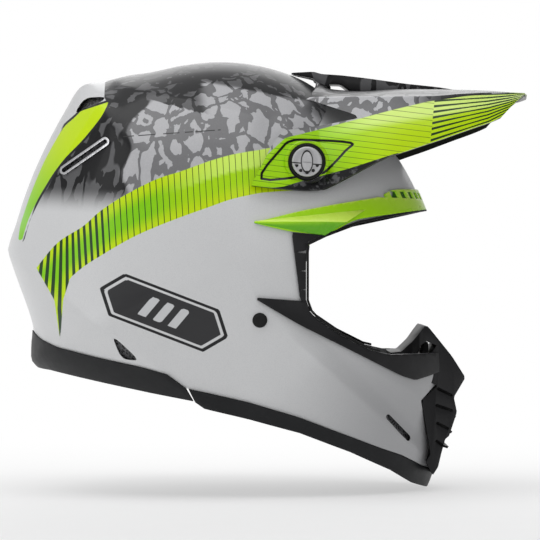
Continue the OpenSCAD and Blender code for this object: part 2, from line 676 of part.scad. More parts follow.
outer_shell();
shell_rivets();
peak();
peak_bridge();
peak_bush_right();
peak_bush_left();
peak_insert_nuts();
peak_screw_right();
peak_screw_left();
peak_screw_top();
peak_washer_right();
peak_washer_left();
brow_cover();
brow_screen();
eyeport_gasket();
chin_bar_trim();
mouthpiece();
mouth_louvers();
mouth_screen();
mouth_shutter();
breath_guard_screen();
base_trim_front();
base_trim_rear();
side_vent_bezels();
side_vent_screens();
rear_vent_screens();
chin_vent_screens();
exhaust_screens();
crown_foam_front();
crown_foam_rear();
chin_foam();
crown_liner();
neck_roll();
cheek_pad_right();
cheek_pad_left();
cheek_pad_plates();
pad_pull_tabs();
liner_snaps();
chin_strap_right();
chin_strap_left();
strap_anchor_plates();
strap_sleeve();
strap_keeper();
strap_snap();
d_ring_outer();
d_ring_inner();
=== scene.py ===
import math

import bmesh
import bpy
import numpy as np
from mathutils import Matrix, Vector


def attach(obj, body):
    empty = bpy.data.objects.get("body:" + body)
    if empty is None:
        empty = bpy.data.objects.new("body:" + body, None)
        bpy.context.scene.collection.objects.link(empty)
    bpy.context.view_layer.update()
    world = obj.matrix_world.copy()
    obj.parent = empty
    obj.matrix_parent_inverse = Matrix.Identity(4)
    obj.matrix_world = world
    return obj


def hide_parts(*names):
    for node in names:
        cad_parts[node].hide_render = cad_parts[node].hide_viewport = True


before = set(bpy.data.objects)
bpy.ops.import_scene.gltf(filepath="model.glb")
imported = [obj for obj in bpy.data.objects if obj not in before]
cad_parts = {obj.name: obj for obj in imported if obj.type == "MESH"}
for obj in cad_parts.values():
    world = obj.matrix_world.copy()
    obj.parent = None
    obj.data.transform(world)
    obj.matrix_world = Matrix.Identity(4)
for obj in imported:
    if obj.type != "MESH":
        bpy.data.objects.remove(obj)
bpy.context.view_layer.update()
MM = 0.001
SIDES = ((-1, "right"), (1, "left"))
# Where the photograph was taken from, in millimetres: ahead, up, and away to the right
CAMERA_X, CAMERA_Z, CAMERA_FAR = 28.1, -5.9, 2200.0
PICTURE_WIDTH = 400.0  # of the middle plane

# ---------------------------------------------------------------- the shell's surface, in millimetres
# The same outlines and creases as the CAD shell: [x, z] seen from the side, once round from straight ahead.

SHELL_OUTLINE = [
    (154, 0), (148, 22), (141, 41), (133, 59), (122, 77.5), (98, 102), (70, 123), (54, 133.3), (43, 138.3),
    (20, 144.8), (-6, 147.6), (-34, 145.2), (-62, 138.8), (-88, 134.6), (-105, 132), (-112.5, 128), (-123, 111),
    (-134, 91), (-146, 65), (-156, 37), (-165.5, 9), (-168, -14), (-170, -38), (-174, -59), (-183, -77),
    (-188, -96), (-150, -128), (-80, -145), (0, -152), (50, -172), (100, -180), (138, -171), (148, -153),
    (154, -132), (160, -108), (163, -88), (162, -66), (159, -34),
]
SHELL_FULLNESS = [(-46, 1.9), (-35, 1.8), (0, 2), (90, 2), (130, 2.2), (180, 2.2), (230, 2.6), (270, 3),
                  (300, 2.4), (314, 1.9), (325, 1.8), (360, 2)]
SHELL_CORNERS = (131.3, 176.9)
SHELL_HALF_WIDTH = 127.0
# Creases in the side view: start, end, height, and how far they reach above and below the line
SHELL_RIDGES = [
    ((-83, 126), (22, 99), 3.5, 14, 40),
    ((58, -64), (143, -143), 3.5, 16, 26),
    ((62, -52), (137, -98), 2, 10, 12),
    ((-88, 118), (-146, 28), 3, 30, 12),
]
SKIRT_FOLD = ((-165, 9), (-32, -90), 0.49)  # start, end, and how steeply the skirt draws in below it

CAVITY_OUTLINE = [
    (118, 0), (108, 30), (98, 55), (80, 82), (50, 102), (18, 110), (-14, 111), (-48, 104), (-80, 85),
    (-103, 52), (-112, 10), (-110, -30), (-103, -70), (-92, -110), (-60, -150), (0, -165), (60, -180),
    (105, -168), (124, -150), (131, -128), (135, -108), (137, -88), (136, -66), (130, -34),
]
CAVITY_FULLNESS = [(-46, 2), (0, 2.2), (90, 2.2), (180, 2.3), (270, 2.6), (314, 2), (360, 2.2)]


def curve(x, points):
    """Smooth curve through (x, value) points, level with the ends beyond them."""
    points = np.asarray(points, float)
    xs, ys = points[:, 0], points[:, 1]
    before, after = np.r_[0, 0:len(xs) - 1], np.r_[1:len(xs), len(xs) - 1]
    slope = (ys[after] - ys[before]) / (xs[after] - xs[before])
    x = np.asarray(x, float)
    i = np.clip(np.searchsorted(xs, x, "right") - 1, 0, len(xs) - 2)
    h = xs[i + 1] - xs[i]
    f = np.clip((x - xs[i]) / h, 0, 1)
    return ((2 * f**3 - 3 * f**2 + 1) * ys[i] + (f**3 - 2 * f**2 + f) * h * slope[i]
            + (3 * f**2 - 2 * f**3) * ys[i + 1] + (f**3 - f**2) * h * slope[i + 1])


def polar(outline):
    """An outline as (degrees, radius), run on past both ends of the turn."""
    p = np.array(outline, float)
    once = np.c_[np.degrees(np.arctan2(p[:, 1], p[:, 0])) % 360, np.hypot(p[:, 0], p[:, 1])]
    return np.r_[once[-2:] - (360, 0), once, once[:2] + (360, 0)]


SHELL_POLAR = polar(SHELL_OUTLINE)


def ramp(x, w):
    return np.where(x <= -w, 0, np.where(x >= w, x, (x + w) ** 2 / (4 * w)))


def fade(f):
    g = np.clip(f, 0, 1)
    return g * g * (3 - 2 * g)


def side_of(p, a, b):
    """Signed distance in the side view from the line a-b, positive on its left."""
    d = np.subtract(b, a) / math.dist(a, b)
    return (p[:, 0] - a[0]) * -d[1] + (p[:, 2] - a[1]) * d[0]


def along(p, a, b):
    d = np.subtract(b, a)
    return ((p[:, 0] - a[0]) * d[0] + (p[:, 2] - a[1]) * d[1]) / (d @ d)


def creased(p, width=1.6):
    """Moves points of the plain shell towards or away from the origin, by the creases there."""
    lift = -SKIRT_FOLD[2] * ramp(-side_of(p, *SKIRT_FOLD[:2]), width)
    for a, b, height, above, below in SHELL_RIDGES:
        s, f = side_of(p, a, b), along(p, a, b)
        ends = fade(f * 5 + 0.5) * fade((1 - f) * 5 + 0.5)
        lift += height * np.exp(-np.abs(s) / np.where(s > 0, above, below)) * ends
    return p * (1 + lift / np.maximum(np.linalg.norm(p, axis=1), 1))[:, None]


def section(turn, angle, radius, half_width, fullness):
    reach = radius * np.abs(np.cos(turn)) ** (2 / fullness)
    out = half_width * np.sign(turn) * np.abs(np.sin(turn)) ** (2 / fullness)
    return np.stack([reach * np.cos(angle), out, reach * np.sin(angle)], -1)


def shell_points(angle, turn, out=0.0):
    """Points of the creased shell, for angles round the side view and turns from the middle plane, in degrees."""
    angle, turn = np.broadcast_arrays(np.asarray(angle, float), np.asarray(turn, float))
    a, t = angle.ravel() % 360, turn.ravel()
    radius, fullness = curve(a, SHELL_POLAR) + out, curve(a, SHELL_FULLNESS)
    return creased(section(np.radians(t), np.radians(a), radius, SHELL_HALF_WIDTH + out, fullness))


def shell_at(x, z, out=0.0, side=-1):
    """The point of the creased shell that shows at [x, z] from the side."""
    x, z = np.broadcast_arrays(np.asarray(x, float), np.asarray(z, float))
    angle, want = np.degrees(np.arctan2(z, x)), np.hypot(x, z)
    low, high = np.zeros(angle.shape), np.full(angle.shape, 89.99)
    for _ in range(34):
        mid = (low + high) / 2
        p = shell_points(angle, mid, out)
        far = np.hypot(p[:, 0], p[:, 2]) > want.ravel()
        low, high = np.where(far.reshape(mid.shape), mid, low), np.where(far.reshape(mid.shape), high, mid)
    p = shell_points(angle, (low + high) / 2, out)
    p[:, 1] = np.abs(p[:, 1]) * side
    return p


def shell_normal(x, z, side=-1):
    d = 0.6
    a = shell_at(np.asarray(x) + d, z, 0, side) - shell_at(np.asarray(x) - d, z, 0, side)
    b = shell_at(x, np.asarray(z) + d, 0, side) - shell_at(x, np.asarray(z) - d, 0, side)
    n = np.cross(a, b)
    n *= np.where((n[:, 1] * side) < 0, -1, 1)[:, None]
    return n / np.linalg.norm(n, axis=1)[:, None]


# ---------------------------------------------------------------- meshes


def link(name, mesh):
    obj = bpy.data.objects.new(name, mesh)
    bpy.context.scene.collection.objects.link(obj)
    return obj


def make(name, points, faces, outward=False):
    """An object from points in millimetres."""
    mesh = bpy.data.meshes.new(name)
    mesh.from_pydata((np.asarray(points, float) * MM).tolist(), [], [list(map(int, f)) for f in faces])
    mesh.update()
    if outward:
        bm = bmesh.new()
        bm.from_mesh(mesh)
        bmesh.ops.recalc_face_normals(bm, faces=bm.faces)
        bm.to_mesh(mesh)
        bm.free()
    return link(name, mesh)


def bulk(name, outline, fullness, half_width, inset, turns, side, fold):
    """A closed curved solid, as in the CAD: rings of sections round the outline, and a point at each side."""
    angles = np.arange(turns) * 360.0 / turns
    if fold:
        # A ring of points lies on each end of the skirt's fold
        for corner in SHELL_CORNERS:
            angles[np.abs(angles - corner).argmin()] = corner
    turn = 90.0 * np.arange(1 - side, side) / side
    a, t = np.meshgrid(angles, turn, indexing="ij")
    a, t = a.ravel(), t.ravel()
    radius, half_width = curve(a, polar(outline)) - inset, half_width - inset
    p = section(np.radians(t), np.radians(a), radius, half_width, curve(a, fullness))
    if fold:
        p = creased(p)
    n = len(turn)
    p = np.r_[p, [(0, -half_width, 0), (0, half_width, 0)]]
    i, j = np.meshgrid(np.arange(turns), np.arange(n - 1), indexing="ij")
    i, j, k = i.ravel(), j.ravel(), (i.ravel() + 1) % turns
    quads = np.c_[i * n + j, i * n + j + 1, k * n + j + 1, k * n + j]
    i = np.arange(turns)
    k = (i + 1) % turns
    ends = [(turns * n, u * n, v * n) for u, v in zip(i, k)]
    ends += [(turns * n + 1, v * n + n - 1, u * n + n - 1) for u, v in zip(i, k)]
    return make(name, p, quads.tolist() + ends)


def shell_bulk(inset, turns=180, side=36):
    return bulk("bulk", SHELL_OUTLINE, SHELL_FULLNESS, SHELL_HALF_WIDTH, inset, turns, side, True)


def cavity_bulk(inset, half_width=88.0, turns=96, side=20):
    return bulk("bulk", CAVITY_OUTLINE, CAVITY_FULLNESS, half_width, inset, turns, side, False)


def rectangle(left, right, low, high):
    return [(left, low), (right, low), (right, high), (left, high)]


def prism(points, low=-300.0, high=300.0, axis="y"):
    """A flat outline carried along an axis: [x, z] along y, or [x, y] along z."""
    p = np.array(points, float)
    if (np.cross(p, np.roll(p, -1, 0)).sum() > 0) == (axis == "y"):
        p = p[::-1]
    n = len(p)
    ends = [np.insert(p, 1 if axis == "y" else 2, h, axis=1) for h in (low, high)]
    faces = [list(range(n))[::-1], list(range(n, 2 * n))]
    faces += [(i, (i + 1) % n, n + (i + 1) % n, n + i) for i in range(n)]
    return make("prism", np.r_[ends[0], ends[1]], faces)


def grown(points, by):
    """A convex-ish outline moved outwards by a distance."""
    p = np.array(points, float)
    turn = 1 if np.cross(p, np.roll(p, -1, 0)).sum() > 0 else -1
    a, b = p - np.roll(p, 1, 0), np.roll(p, -1, 0) - p
    a, b = [v / np.linalg.norm(v, axis=1)[:, None] for v in (a, b)]
    na, nb = [turn * np.c_[v[:, 1], -v[:, 0]] for v in (a, b)]
    m = na + nb
    return p + by * m / np.maximum((m * na).sum(1), 0.3)[:, None]


def slot_outline(a, b, r, steps=10):
    d = math.atan2(b[1] - a[1], b[0] - a[0])
    turn = [math.pi * (i / steps - 0.5) for i in range(steps + 1)]
    return [(b[0] + r * math.cos(d + t), b[1] + r * math.sin(d + t)) for t in turn] + \
        [(a[0] - r * math.cos(d + t), a[1] - r * math.sin(d + t)) for t in turn]


def circle(x, z, r, steps=48):
    turn = [math.tau * i / steps for i in range(steps)]
    return [(x + r * math.cos(t), z + r * math.sin(t)) for t in turn]


def boolean(obj, other, operation="DIFFERENCE"):
    """Cuts one closed mesh with another, which is used up."""
    m = obj.modifiers.new("cut", "BOOLEAN")
    m.operation, m.solver, m.object = operation, "MANIFOLD", other
    baked(obj)
    mesh = other.data
    bpy.data.objects.remove(other)
    bpy.data.meshes.remove(mesh)
    return obj


def baked(obj):
    """Applies an object's modifiers."""
    bpy.context.view_layer.update()
    dg = bpy.context.evaluated_depsgraph_get()
    mesh = bpy.data.meshes.new_from_object(obj.evaluated_get(dg))
    obj.modifiers.clear()
    old, obj.data = obj.data, mesh
    bpy.data.meshes.remove(old)
    return obj


def cut(obj, *shape, keep=False):
    """Cuts a prism out of a closed mesh, or keeps only what is inside the prism."""
    return boolean(obj, prism(*shape), "INTERSECT" if keep else "DIFFERENCE")


def trimmed(name, obj, keep, *cuts):
    """Names a closed mesh, keeps what is inside an outline, and takes the cuts away."""
    obj.name = name
    cut(obj, keep, keep=True)
    for other in cuts:
        boolean(obj, other)
    return obj


def layer(name, outer, inner, keep, cuts=(), turns=180, side=36):
    """The part of a layer of the shell inside one outline and outside the others."""
    under = shell_bulk(inner, max(turns // 2, 90), max(side // 2, 18))
    return trimmed(name, shell_bulk(outer, turns, side), keep, *map(prism, cuts), under)


def smooth(obj, angle):
    obj.data.shade_smooth()
    obj.data.set_sharp_from_angle(angle=math.radians(angle))
    return obj


def bevelled(obj, width, angle):
    m = obj.modifiers.new("edges", "BEVEL")
    m.width, m.segments, m.limit_method, m.angle_limit = width * MM, 2, "ANGLE", math.radians(angle)
    return smooth(baked(obj), angle)


def read(items, field):
    values = np.empty(len(items) * 3)
    items.foreach_get(field, values)
    return values.reshape(-1, 3)


def points_of(obj):
    return read(obj.data.vertices, "co") / MM


def move_points(obj, points):
    obj.data.vertices.foreach_set("co", (points * MM).ravel())
    obj.data.update()


def store(obj, name, values):
    """Keeps a number for each vertex, for the material."""
    at = obj.data.attributes.new(name, "FLOAT", "POINT")
    at.data.foreach_set("value", np.asarray(values, np.float32))


def finish_piece(obj, body, material, slot, *nodes):
    obj.data.materials.clear()
    obj.data.materials.append(material)
    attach(obj, body)
    if nodes:
        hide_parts(*nodes)
    return obj


# ---------------------------------------------------------------- printing, and distances in the side view


def printed(p):
    """Where points show on the middle plane, as [x, z], seen from the camera or its mirror image."""
    k = CAMERA_FAR / (CAMERA_FAR - np.abs(p[:, 1]))
    return np.c_[CAMERA_X + (p[:, 0] - CAMERA_X) * k, CAMERA_Z + (p[:, 2] - CAMERA_Z) * k]


def from_segment(q, a, b):
    d = b - a
    f = np.clip(((q - a) @ d) / max(d @ d, 1e-9), 0, 1)
    return np.hypot(*(q - a - f[:, None] * d).T)


def inside(q, outline):
    """Signed distance to a closed outline, positive inside."""
    o = np.array(outline, float)
    best, within = np.full(len(q), 1e9), np.zeros(len(q), bool)
    for a, b in zip(o, np.roll(o, -1, 0)):
        best = np.minimum(best, from_segment(q, a, b))
        crosses = (a[1] > q[:, 1]) != (b[1] > q[:, 1])
        with np.errstate(divide="ignore", invalid="ignore"):
            x = a[0] + (q[:, 1] - a[1]) * (b[0] - a[0]) / (b[1] - a[1])
        within ^= crosses & (q[:, 0] < x)
    return np.where(within, best, -best)


def near_line(q, line):
    """Distance to an open line."""
    o = np.array(line, float)
    return np.min([from_segment(q, a, b) for a, b in zip(o[:-1], o[1:])], axis=0)


def rounded(outline, steps=4, closed=True):
    """A smooth outline through the points."""
    o = np.array(outline, float)
    n = len(o)
    out = []
    for i in range(n if closed else n - 1):
        p = [o[(i + k) % n] if closed else o[min(max(i + k, 0), n - 1)] for k in (-1, 0, 1, 2)]
        for f in np.arange(steps) / steps:
            out.append(0.5 * (2 * p[1] + (p[2] - p[0]) * f + (2 * p[0] - 5 * p[1] + 4 * p[2] - p[3]) * f**2
                              + (3 * p[1] - p[0] - 3 * p[2] + p[3]) * f**3))
    if not closed:
        out.append(o[-1])
    return np.array(out)


# ---------------------------------------------------------------- materials


class Nodes:
    """Short names for building the nodes of a material or of the world."""

    def __init__(self, name, owner="materials", shader="Principled BSDF"):
        self.material = getattr(bpy.data, owner).new(name)
        self.material.use_nodes = True
        self.tree = self.material.node_tree
        self.shader = self.tree.nodes[shader]

    def new(self, kind, inputs=None, **props):
        node = self.tree.nodes.new(kind)
        for key, value in props.items():
            setattr(node, key, value)
        for key, value in (inputs or {}).items():
            self.feed(node.inputs[key], value)
        return node

    def feed(self, socket, value):
        if isinstance(value, bpy.types.NodeSocket):
            self.tree.links.new(value, socket)
        else:
            socket.default_value = (*value, 1) if socket.type == "RGBA" else value

    def set(self, **values):
        for key, value in values.items():
            self.feed(self.shader.inputs[key.replace("_", " ")], value)

    def math(self, op, *values):
        return self.new("ShaderNodeMath", dict(enumerate(values)), operation=op).outputs[0]

    def times(self, a, b):
        return self.math("MULTIPLY", a, b)

    def plus(self, a, b):
        return self.math("ADD", a, b)

    def less(self, a, b):
        return self.math("SUBTRACT", a, b)

    def size(self, a):
        return self.math("ABSOLUTE", a)

    def apart(self, a, b):
        return self.size(self.less(a, b))

    def length(self, a, b):
        return self.math("SQRT", self.plus(self.times(a, a), self.times(b, b)))

    def mix(self, f, a, b):
        return self.new("ShaderNodeMix", {"Factor": f, "A": a, "B": b}, data_type="RGBA").outputs["Result"]

    def step(self, value, low, high):
        """0 below low, 1 above high, smooth between."""
        ends = {"Value": value, "From Min": low, "From Max": high}
        return self.new("ShaderNodeMapRange", ends, interpolation_type="SMOOTHSTEP").outputs["Result"]

    def attribute(self, name):
        return self.new("ShaderNodeAttribute", attribute_name=name).outputs["Fac"]

    def place(self):
        """Position on the piece, in metres."""
        return self.new("ShaderNodeTexCoord").outputs["Object"]

    def parts(self, vector):
        return self.new("ShaderNodeSeparateXYZ", {0: vector}).outputs

    def mapped(self, vector, turn=(0, 0, 0), scale=(1, 1, 1)):
        turn = [math.radians(a) for a in turn]
        return self.new("ShaderNodeMapping", {"Vector": vector, "Rotation": turn, "Scale": scale}).outputs["Vector"]

    def noise(self, vector, scale, detail=3.0, rough=0.5):
        inputs = {"Vector": vector, "Scale": scale, "Detail": detail, "Roughness": rough}
        return self.new("ShaderNodeTexNoise", inputs).outputs["Fac"]

    def wander(self, vector, scale, amount):
        """A vector shifted about by noise."""
        colour = self.noise(vector, scale, 2.0).node.outputs["Color"]
        shift = self.new("ShaderNodeVectorMath", {0: colour, 1: (0.5, 0.5, 0.5)}, operation="SUBTRACT").outputs[0]
        shift = self.new("ShaderNodeVectorMath", {0: shift, "Scale": amount}, operation="SCALE").outputs[0]
        return self.new("ShaderNodeVectorMath", {0: vector, 1: shift}, operation="ADD").outputs[0]

    def cells(self, vector, scale, feature="DISTANCE_TO_EDGE"):
        inputs = {"Vector": vector, "Scale": scale}
        return self.new("ShaderNodeTexVoronoi", inputs, feature=feature).outputs["Distance"]

    def bump(self, height, strength, distance):
        inputs = {"Strength": strength, "Distance": distance, "Height": height}
        self.set(Normal=self.new("ShaderNodeBump", inputs).outputs["Normal"])


LIME, LEAF, PALE = (0.53, 0.73, 0.001), (0.22, 0.60, 0.001), (0.63, 0.86, 0.15)
WHITE = (0.61, 0.615, 0.62)


def gloss(n, roughness=0.25, coat=0.12):
    """Clear lacquer over the paint, with faint orange peel and dust."""
    at = n.place()
    n.set(IOR=1.38, Specular_IOR_Level=0.3, Coat_Weight=coat, Coat_Roughness=0.08)
    n.set(Roughness=n.plus(roughness, n.times(n.noise(at, 90), 0.06)))
    n.bump(n.noise(at, 700, 1.0), 0.02, 0.0004)


def camouflage(n, tone):
    """Blotches of light and dark grey. Tone is 0 where the print is dark and 1 where it is light."""
    at = n.wander(n.mapped(n.place(), turn=(0, -50, 0), scale=(1, 1, 0.45)), 60, 0.02)
    at = n.wander(at, 190, 0.005)
    edge = n.cells(at, 70)
    gap = n.times(n.noise(at, 48, 2), 0.3)
    patch = n.step(n.less(edge, gap), -0.045, -0.025)
    light = n.mix(n.step(tone, 0.1, 0.9), (0.10, 0.10, 0.104), (0.46, 0.46, 0.475))
    light = n.mix(n.step(tone, 0.03, 0.1), (0.035, 0.035, 0.037), light)
    dark = n.mix(n.step(tone, 0.25, 1.0), (0.006, 0.006, 0.007), (0.18, 0.18, 0.186))
    mixed = n.noise(n.mapped(n.place(), turn=(0, 40, 0), scale=(1, 1, 0.4)), 46, 2)
    blot = n.times(n.step(mixed, 0.54, 0.57), n.less(1, n.step(tone, 0.5, 0.8)))
    colour = n.mix(blot, n.mix(patch, dark, light), (0.008, 0.008, 0.009))
    fine = n.step(n.noise(n.place(), 900, 3, 0.7), 0.35, 0.75)
    return n.mix(fine, n.mix(0.10, colour, (0.02, 0.02, 0.02)), colour)


def stripes(n, phase, width):
    """Lines one unit of phase apart, width of a unit wide."""
    f = n.apart(n.math("FRACT", phase), 0.5)
    half = n.times(width, 0.5)
    return n.less(1, n.step(f, n.less(half, 0.03), n.plus(half, 0.03)))


def shell_paint():
    n = Nodes("shell_paint")
    a = n.attribute
    at = n.place()
    colour = n.mix(n.step(n.noise(at, 1400, 2), 0.4, 0.7), WHITE, (0.575, 0.58, 0.59))
    # Painted shade: the shell is darkened towards the front and the bottom of the chin bar
    colour = n.mix(n.times(a("painted_shade"), 0.55), colour, (0.20, 0.20, 0.21))
    cover = n.times(n.step(a("camo"), -0.4, 0.4), a("cover"))
    colour = n.mix(cover, colour, camouflage(n, a("tone")))
    seam = n.less(1, n.step(n.size(a("seam")), 0.25, 0.5))
    dashes = n.step(n.noise(n.mapped(at, scale=(1, 0.01, 0.01)), 160, 2), 0.42, 0.46)
    colour = n.mix(n.times(n.times(seam, a("seam_on")), dashes), colour, (0.03, 0.03, 0.03))
    across = a("across")
    middle = n.mix(n.step(a("phase"), -14, -6), LEAF, (0.38, 0.68, 0.001))
    green = n.mix(n.step(across, 0.05, 0.42), LIME, middle)
    green = n.mix(n.step(across, 0.62, 0.98), green, LIME)
    green = n.mix(n.times(a("pale"), 0.85), green, PALE)
    green = n.mix(stripes(n, a("phase"), a("stroke")), green, (0.012, 0.045, 0.01))
    colour = n.mix(n.step(a("band"), -0.25, 0.25), colour, green)
    rear = n.mix(a("rear_fade"), LEAF, LIME)
    colour = n.mix(n.step(a("rear"), -0.25, 0.25), colour, rear)
    ink, plate = (0.012, 0.012, 0.013), a("plate")
    edge = n.less(0.8, n.size(n.plus(a("rear"), 0.7)))
    colour = n.mix(n.times(n.step(edge, -0.15, 0.15), a("outlined")), colour, ink)
    colour = n.mix(n.step(n.less(1.0, n.apart(plate, 1.2)), -0.15, 0.15), colour, ink)
    colour = n.mix(n.step(plate, 3.7, 4.0), colour, (0.03, 0.03, 0.032))
    colour = n.mix(n.step(a("bars"), -0.15, 0.15), colour, (0.55, 0.56, 0.57))
    n.set(Base_Color=colour)
    gloss(n, 0.3, 0.12)
    return n.material


def peak_paint():
    n = Nodes("peak_paint")
    a = n.attribute
    camo = camouflage(n, a("tone"))
    green = n.mix(a("pale"), LEAF, LIME)
    # Painted highlight: the upper part of each arm's green, from the side screw forwards, is painted much paler
    green = n.mix(n.times(a("light"), 0.95), green, (0.72, 0.90, 0.28))
    fan = n.step(a("fan"), -0.2, 0.2)
    lines = n.times(stripes(n, a("phase"), 0.07), n.less(1, fan))
    lines = n.math("MAXIMUM", lines, n.times(stripes(n, a("fan_phase"), a("stroke")), fan))
    green = n.mix(lines, green, (0.012, 0.04, 0.01))
    ink = (0.008, 0.008, 0.009)
    colour = n.mix(n.step(a("green"), -0.25, 0.25), camo, green)
    marble = n.mix(n.step(n.noise(n.place(), 150, 4, 0.65), 0.5, 0.6), ink, (0.10, 0.10, 0.105))
    colour = n.mix(n.step(a("lip"), -0.2, 0.2), colour, marble)
    edge = n.less(0.9, n.apart(a("outline"), 0.3))
    colour = n.mix(n.step(edge, -0.2, 0.2), colour, ink)
    colour = n.mix(n.step(a("under"), 0.4, 0.6), colour, ink)
    n.set(Base_Color=colour)
    gloss(n, 0.3, 0.08)
    return n.material


def facets():
    """Lime moulding with painted light and shade: paler on the faces that look up and greener on those that look
    down.
    """
    n = Nodes("lime_gloss")
    # Painted light and shade: faces that look down get a darker green, faces that look up a paler one
    up = n.parts(n.new("ShaderNodeNewGeometry").outputs["Normal"])["Z"]
    colour = n.mix(n.step(up, -0.35, -0.05), (0.09, 0.40, 0.001), (0.36, 0.72, 0.002))
    colour = n.mix(n.step(up, 0.25, 0.45), colour, (0.62, 0.88, 0.10))
    colour = n.mix(n.noise(n.place(), 300, 3), colour, n.mix(0.12, colour, PALE))
    n.set(Base_Color=colour)
    gloss(n, 0.25, 0.15)
    return n.material


def screw_face():
    """Silver lacquer, with painted shade: dark lines round the grip and across the face, and dark holes."""
    n = Nodes("screw_silver")
    at = n.place()
    x, z = [n.math("MULTIPLY_ADD", n.parts(at)[axis], 1 / MM, -middle) for axis, middle in zip("XZ", PIVOT)]
    oval = n.length(n.math("DIVIDE", x, 3.9), n.math("DIVIDE", z, 7.2))
    ring = n.less(1, n.step(n.apart(oval, 1.03), 0.06, 0.11))
    split = n.size(n.plus(n.math("MULTIPLY_ADD", x, 0.08, z), 1.4))
    split = n.times(n.less(1, n.step(split, 0.35, 0.5)), n.step(oval, 1.0, 1.05))
    pitch = math.radians(35)
    turn = n.math("DIVIDE", n.less(n.math("ARCTAN2", z, x), math.radians(-177.5)), pitch)
    apart = n.times(n.less(n.math("FRACT", turn), 0.5), SCREW_HOLES * pitch)
    off = n.less(n.length(x, z), SCREW_HOLES)
    hole = n.length(apart, off)
    hole = n.times(n.less(1, n.step(hole, 1.1, 1.35)), n.less(1, n.step(z, -2.0, -1.8)))
    # Painted shade in a line round the grip, in the split across the face and in the small holes
    dark = n.math("MAXIMUM", n.math("MAXIMUM", ring, split), hole)
    grain = n.noise(at, 900, 2)
    silver = n.mix(grain, (0.40, 0.40, 0.41), (0.50, 0.50, 0.51))
    n.set(Base_Color=n.mix(dark, silver, (0.01, 0.01, 0.01)), Metallic=0.25)
    n.set(Roughness=n.math("MULTIPLY_ADD", grain, 0.12, 0.34))
    n.bump(grain, 0.04, 0.0003)
    return n.material


# A very dark green: painted shade for the openings of the brow's slots
def slot_green():
    n = Nodes("slot_green")
    n.set(Base_Color=n.mix(n.noise(n.place(), 420, 3), (0.02, 0.10, 0.002), (0.03, 0.14, 0.003)))
    gloss(n)
    return n.material


def dark_camo():
    n = Nodes("dark_camo")
    n.set(Base_Color=camouflage(n, 0.18))
    gloss(n, 0.3, 0.08)
    return n.material


def moulded(name, colour, roughness, grain=900, depth=0.06):
    """Moulded plastic or rubber with a fine grain, scuffed a little lighter."""
    n = Nodes(name)
    at = n.place()
    scuff = n.step(n.noise(at, 45, 5, 0.65), 0.45, 0.8)
    lighter = tuple(c * 1.6 + 0.004 for c in colour)
    n.set(Specular_IOR_Level=0.22)
    n.set(Base_Color=n.mix(n.times(scuff, 0.6), colour, lighter))
    n.set(Roughness=n.math("MULTIPLY_ADD", n.noise(at, 160, 3), 0.16, roughness - 0.08))
    n.bump(n.cells(at, grain, "F1"), depth, 0.0005)
    return n.material


def metal(name, colour):
    n = Nodes(name)
    at = n.place()
    brush = n.noise(n.mapped(at, scale=(1, 1, 14)), 320, 3, 0.6)
    n.set(Metallic=1.0, Base_Color=n.mix(brush, colour, tuple(c * 0.82 for c in colour)))
    n.set(Roughness=n.math("MULTIPLY_ADD", brush, 0.14, 0.21))
    n.bump(brush, 0.05, 0.0003)
    return n.material


def screen():
    """Woven mesh: round holes in a dark sheet."""
    n = Nodes("vent_screen")
    at = n.mapped(n.place(), turn=(0, 45, 0))
    hole = n.cells(at, 520, "F1")
    wire = n.step(hole, 0.34, 0.5)
    n.set(Base_Color=n.mix(wire, (0.004, 0.004, 0.004), (0.09, 0.09, 0.095)), Roughness=0.55)
    n.bump(wire, 0.5, 0.0006)
    return n.material


def foam():
    """Moulded bead foam: beads pressed flat against each other."""
    n = Nodes("bead_foam")
    at = n.place()
    bead = n.cells(at, 330)
    colour = n.mix(n.step(bead, 0.0, 0.12), (0.014, 0.014, 0.015), (0.045, 0.045, 0.048))
    n.set(Base_Color=colour, Roughness=0.72)
    n.bump(n.step(bead, 0.0, 0.3), 0.35, 0.0006)
    return n.material


def knit(name, colour, second, thread=None):
    """Brushed knit: rows of small stitches over soft tone changes, and a line of thread each side of a seam."""
    n = Nodes(name)
    at = n.place()
    waves = []
    for turn in ((0, 0, 0), (0, 90, 0), (90, 0, 0)):
        inputs = {"Vector": n.mapped(at, turn=turn), "Scale": 260, "Distortion": 2, "Detail": 1}
        waves.append(n.new("ShaderNodeTexWave", inputs, wave_type="BANDS", bands_direction="DIAGONAL").outputs["Fac"])
    stitch = n.times(n.plus(waves[0], waves[1]), 0.5)
    base = n.mix(n.math("MULTIPLY_ADD", stitch, 0.55, n.times(n.noise(at, 26, 4, 0.6), 0.45)), colour, second)
    if thread:
        line = n.apart(n.size(n.attribute("seam")), 2.6)
        dash = n.step(n.noise(at, 420, 0), 0.42, 0.5)
        base = n.mix(n.times(n.less(1, n.step(line, 0.25, 0.5)), dash), base, thread)
    n.set(Base_Color=base, Roughness=0.92, Sheen_Weight=0.35, Sheen_Roughness=0.5)
    n.bump(n.times(stitch, n.plus(waves[2], 0.6)), 0.5, 0.0005)
    return n.material


def weave(name, colour, second):
    """Webbing: a herringbone of coarse yarn."""
    n = Nodes(name)
    part = n.parts(n.place())
    x, y = n.times(part["X"], 620), n.times(n.plus(part["Y"], part["Z"]), 620)
    yarn = n.size(n.math("SINE", n.times(n.plus(y, n.math("PINGPONG", x, 1.5)), math.pi)))
    n.set(Base_Color=n.mix(yarn, colour, second), Roughness=0.8, Sheen_Weight=0.2)
    n.bump(yarn, 0.6, 0.0005)
    return n.material


# ---------------------------------------------------------------- outlines seen from the side, in millimetres

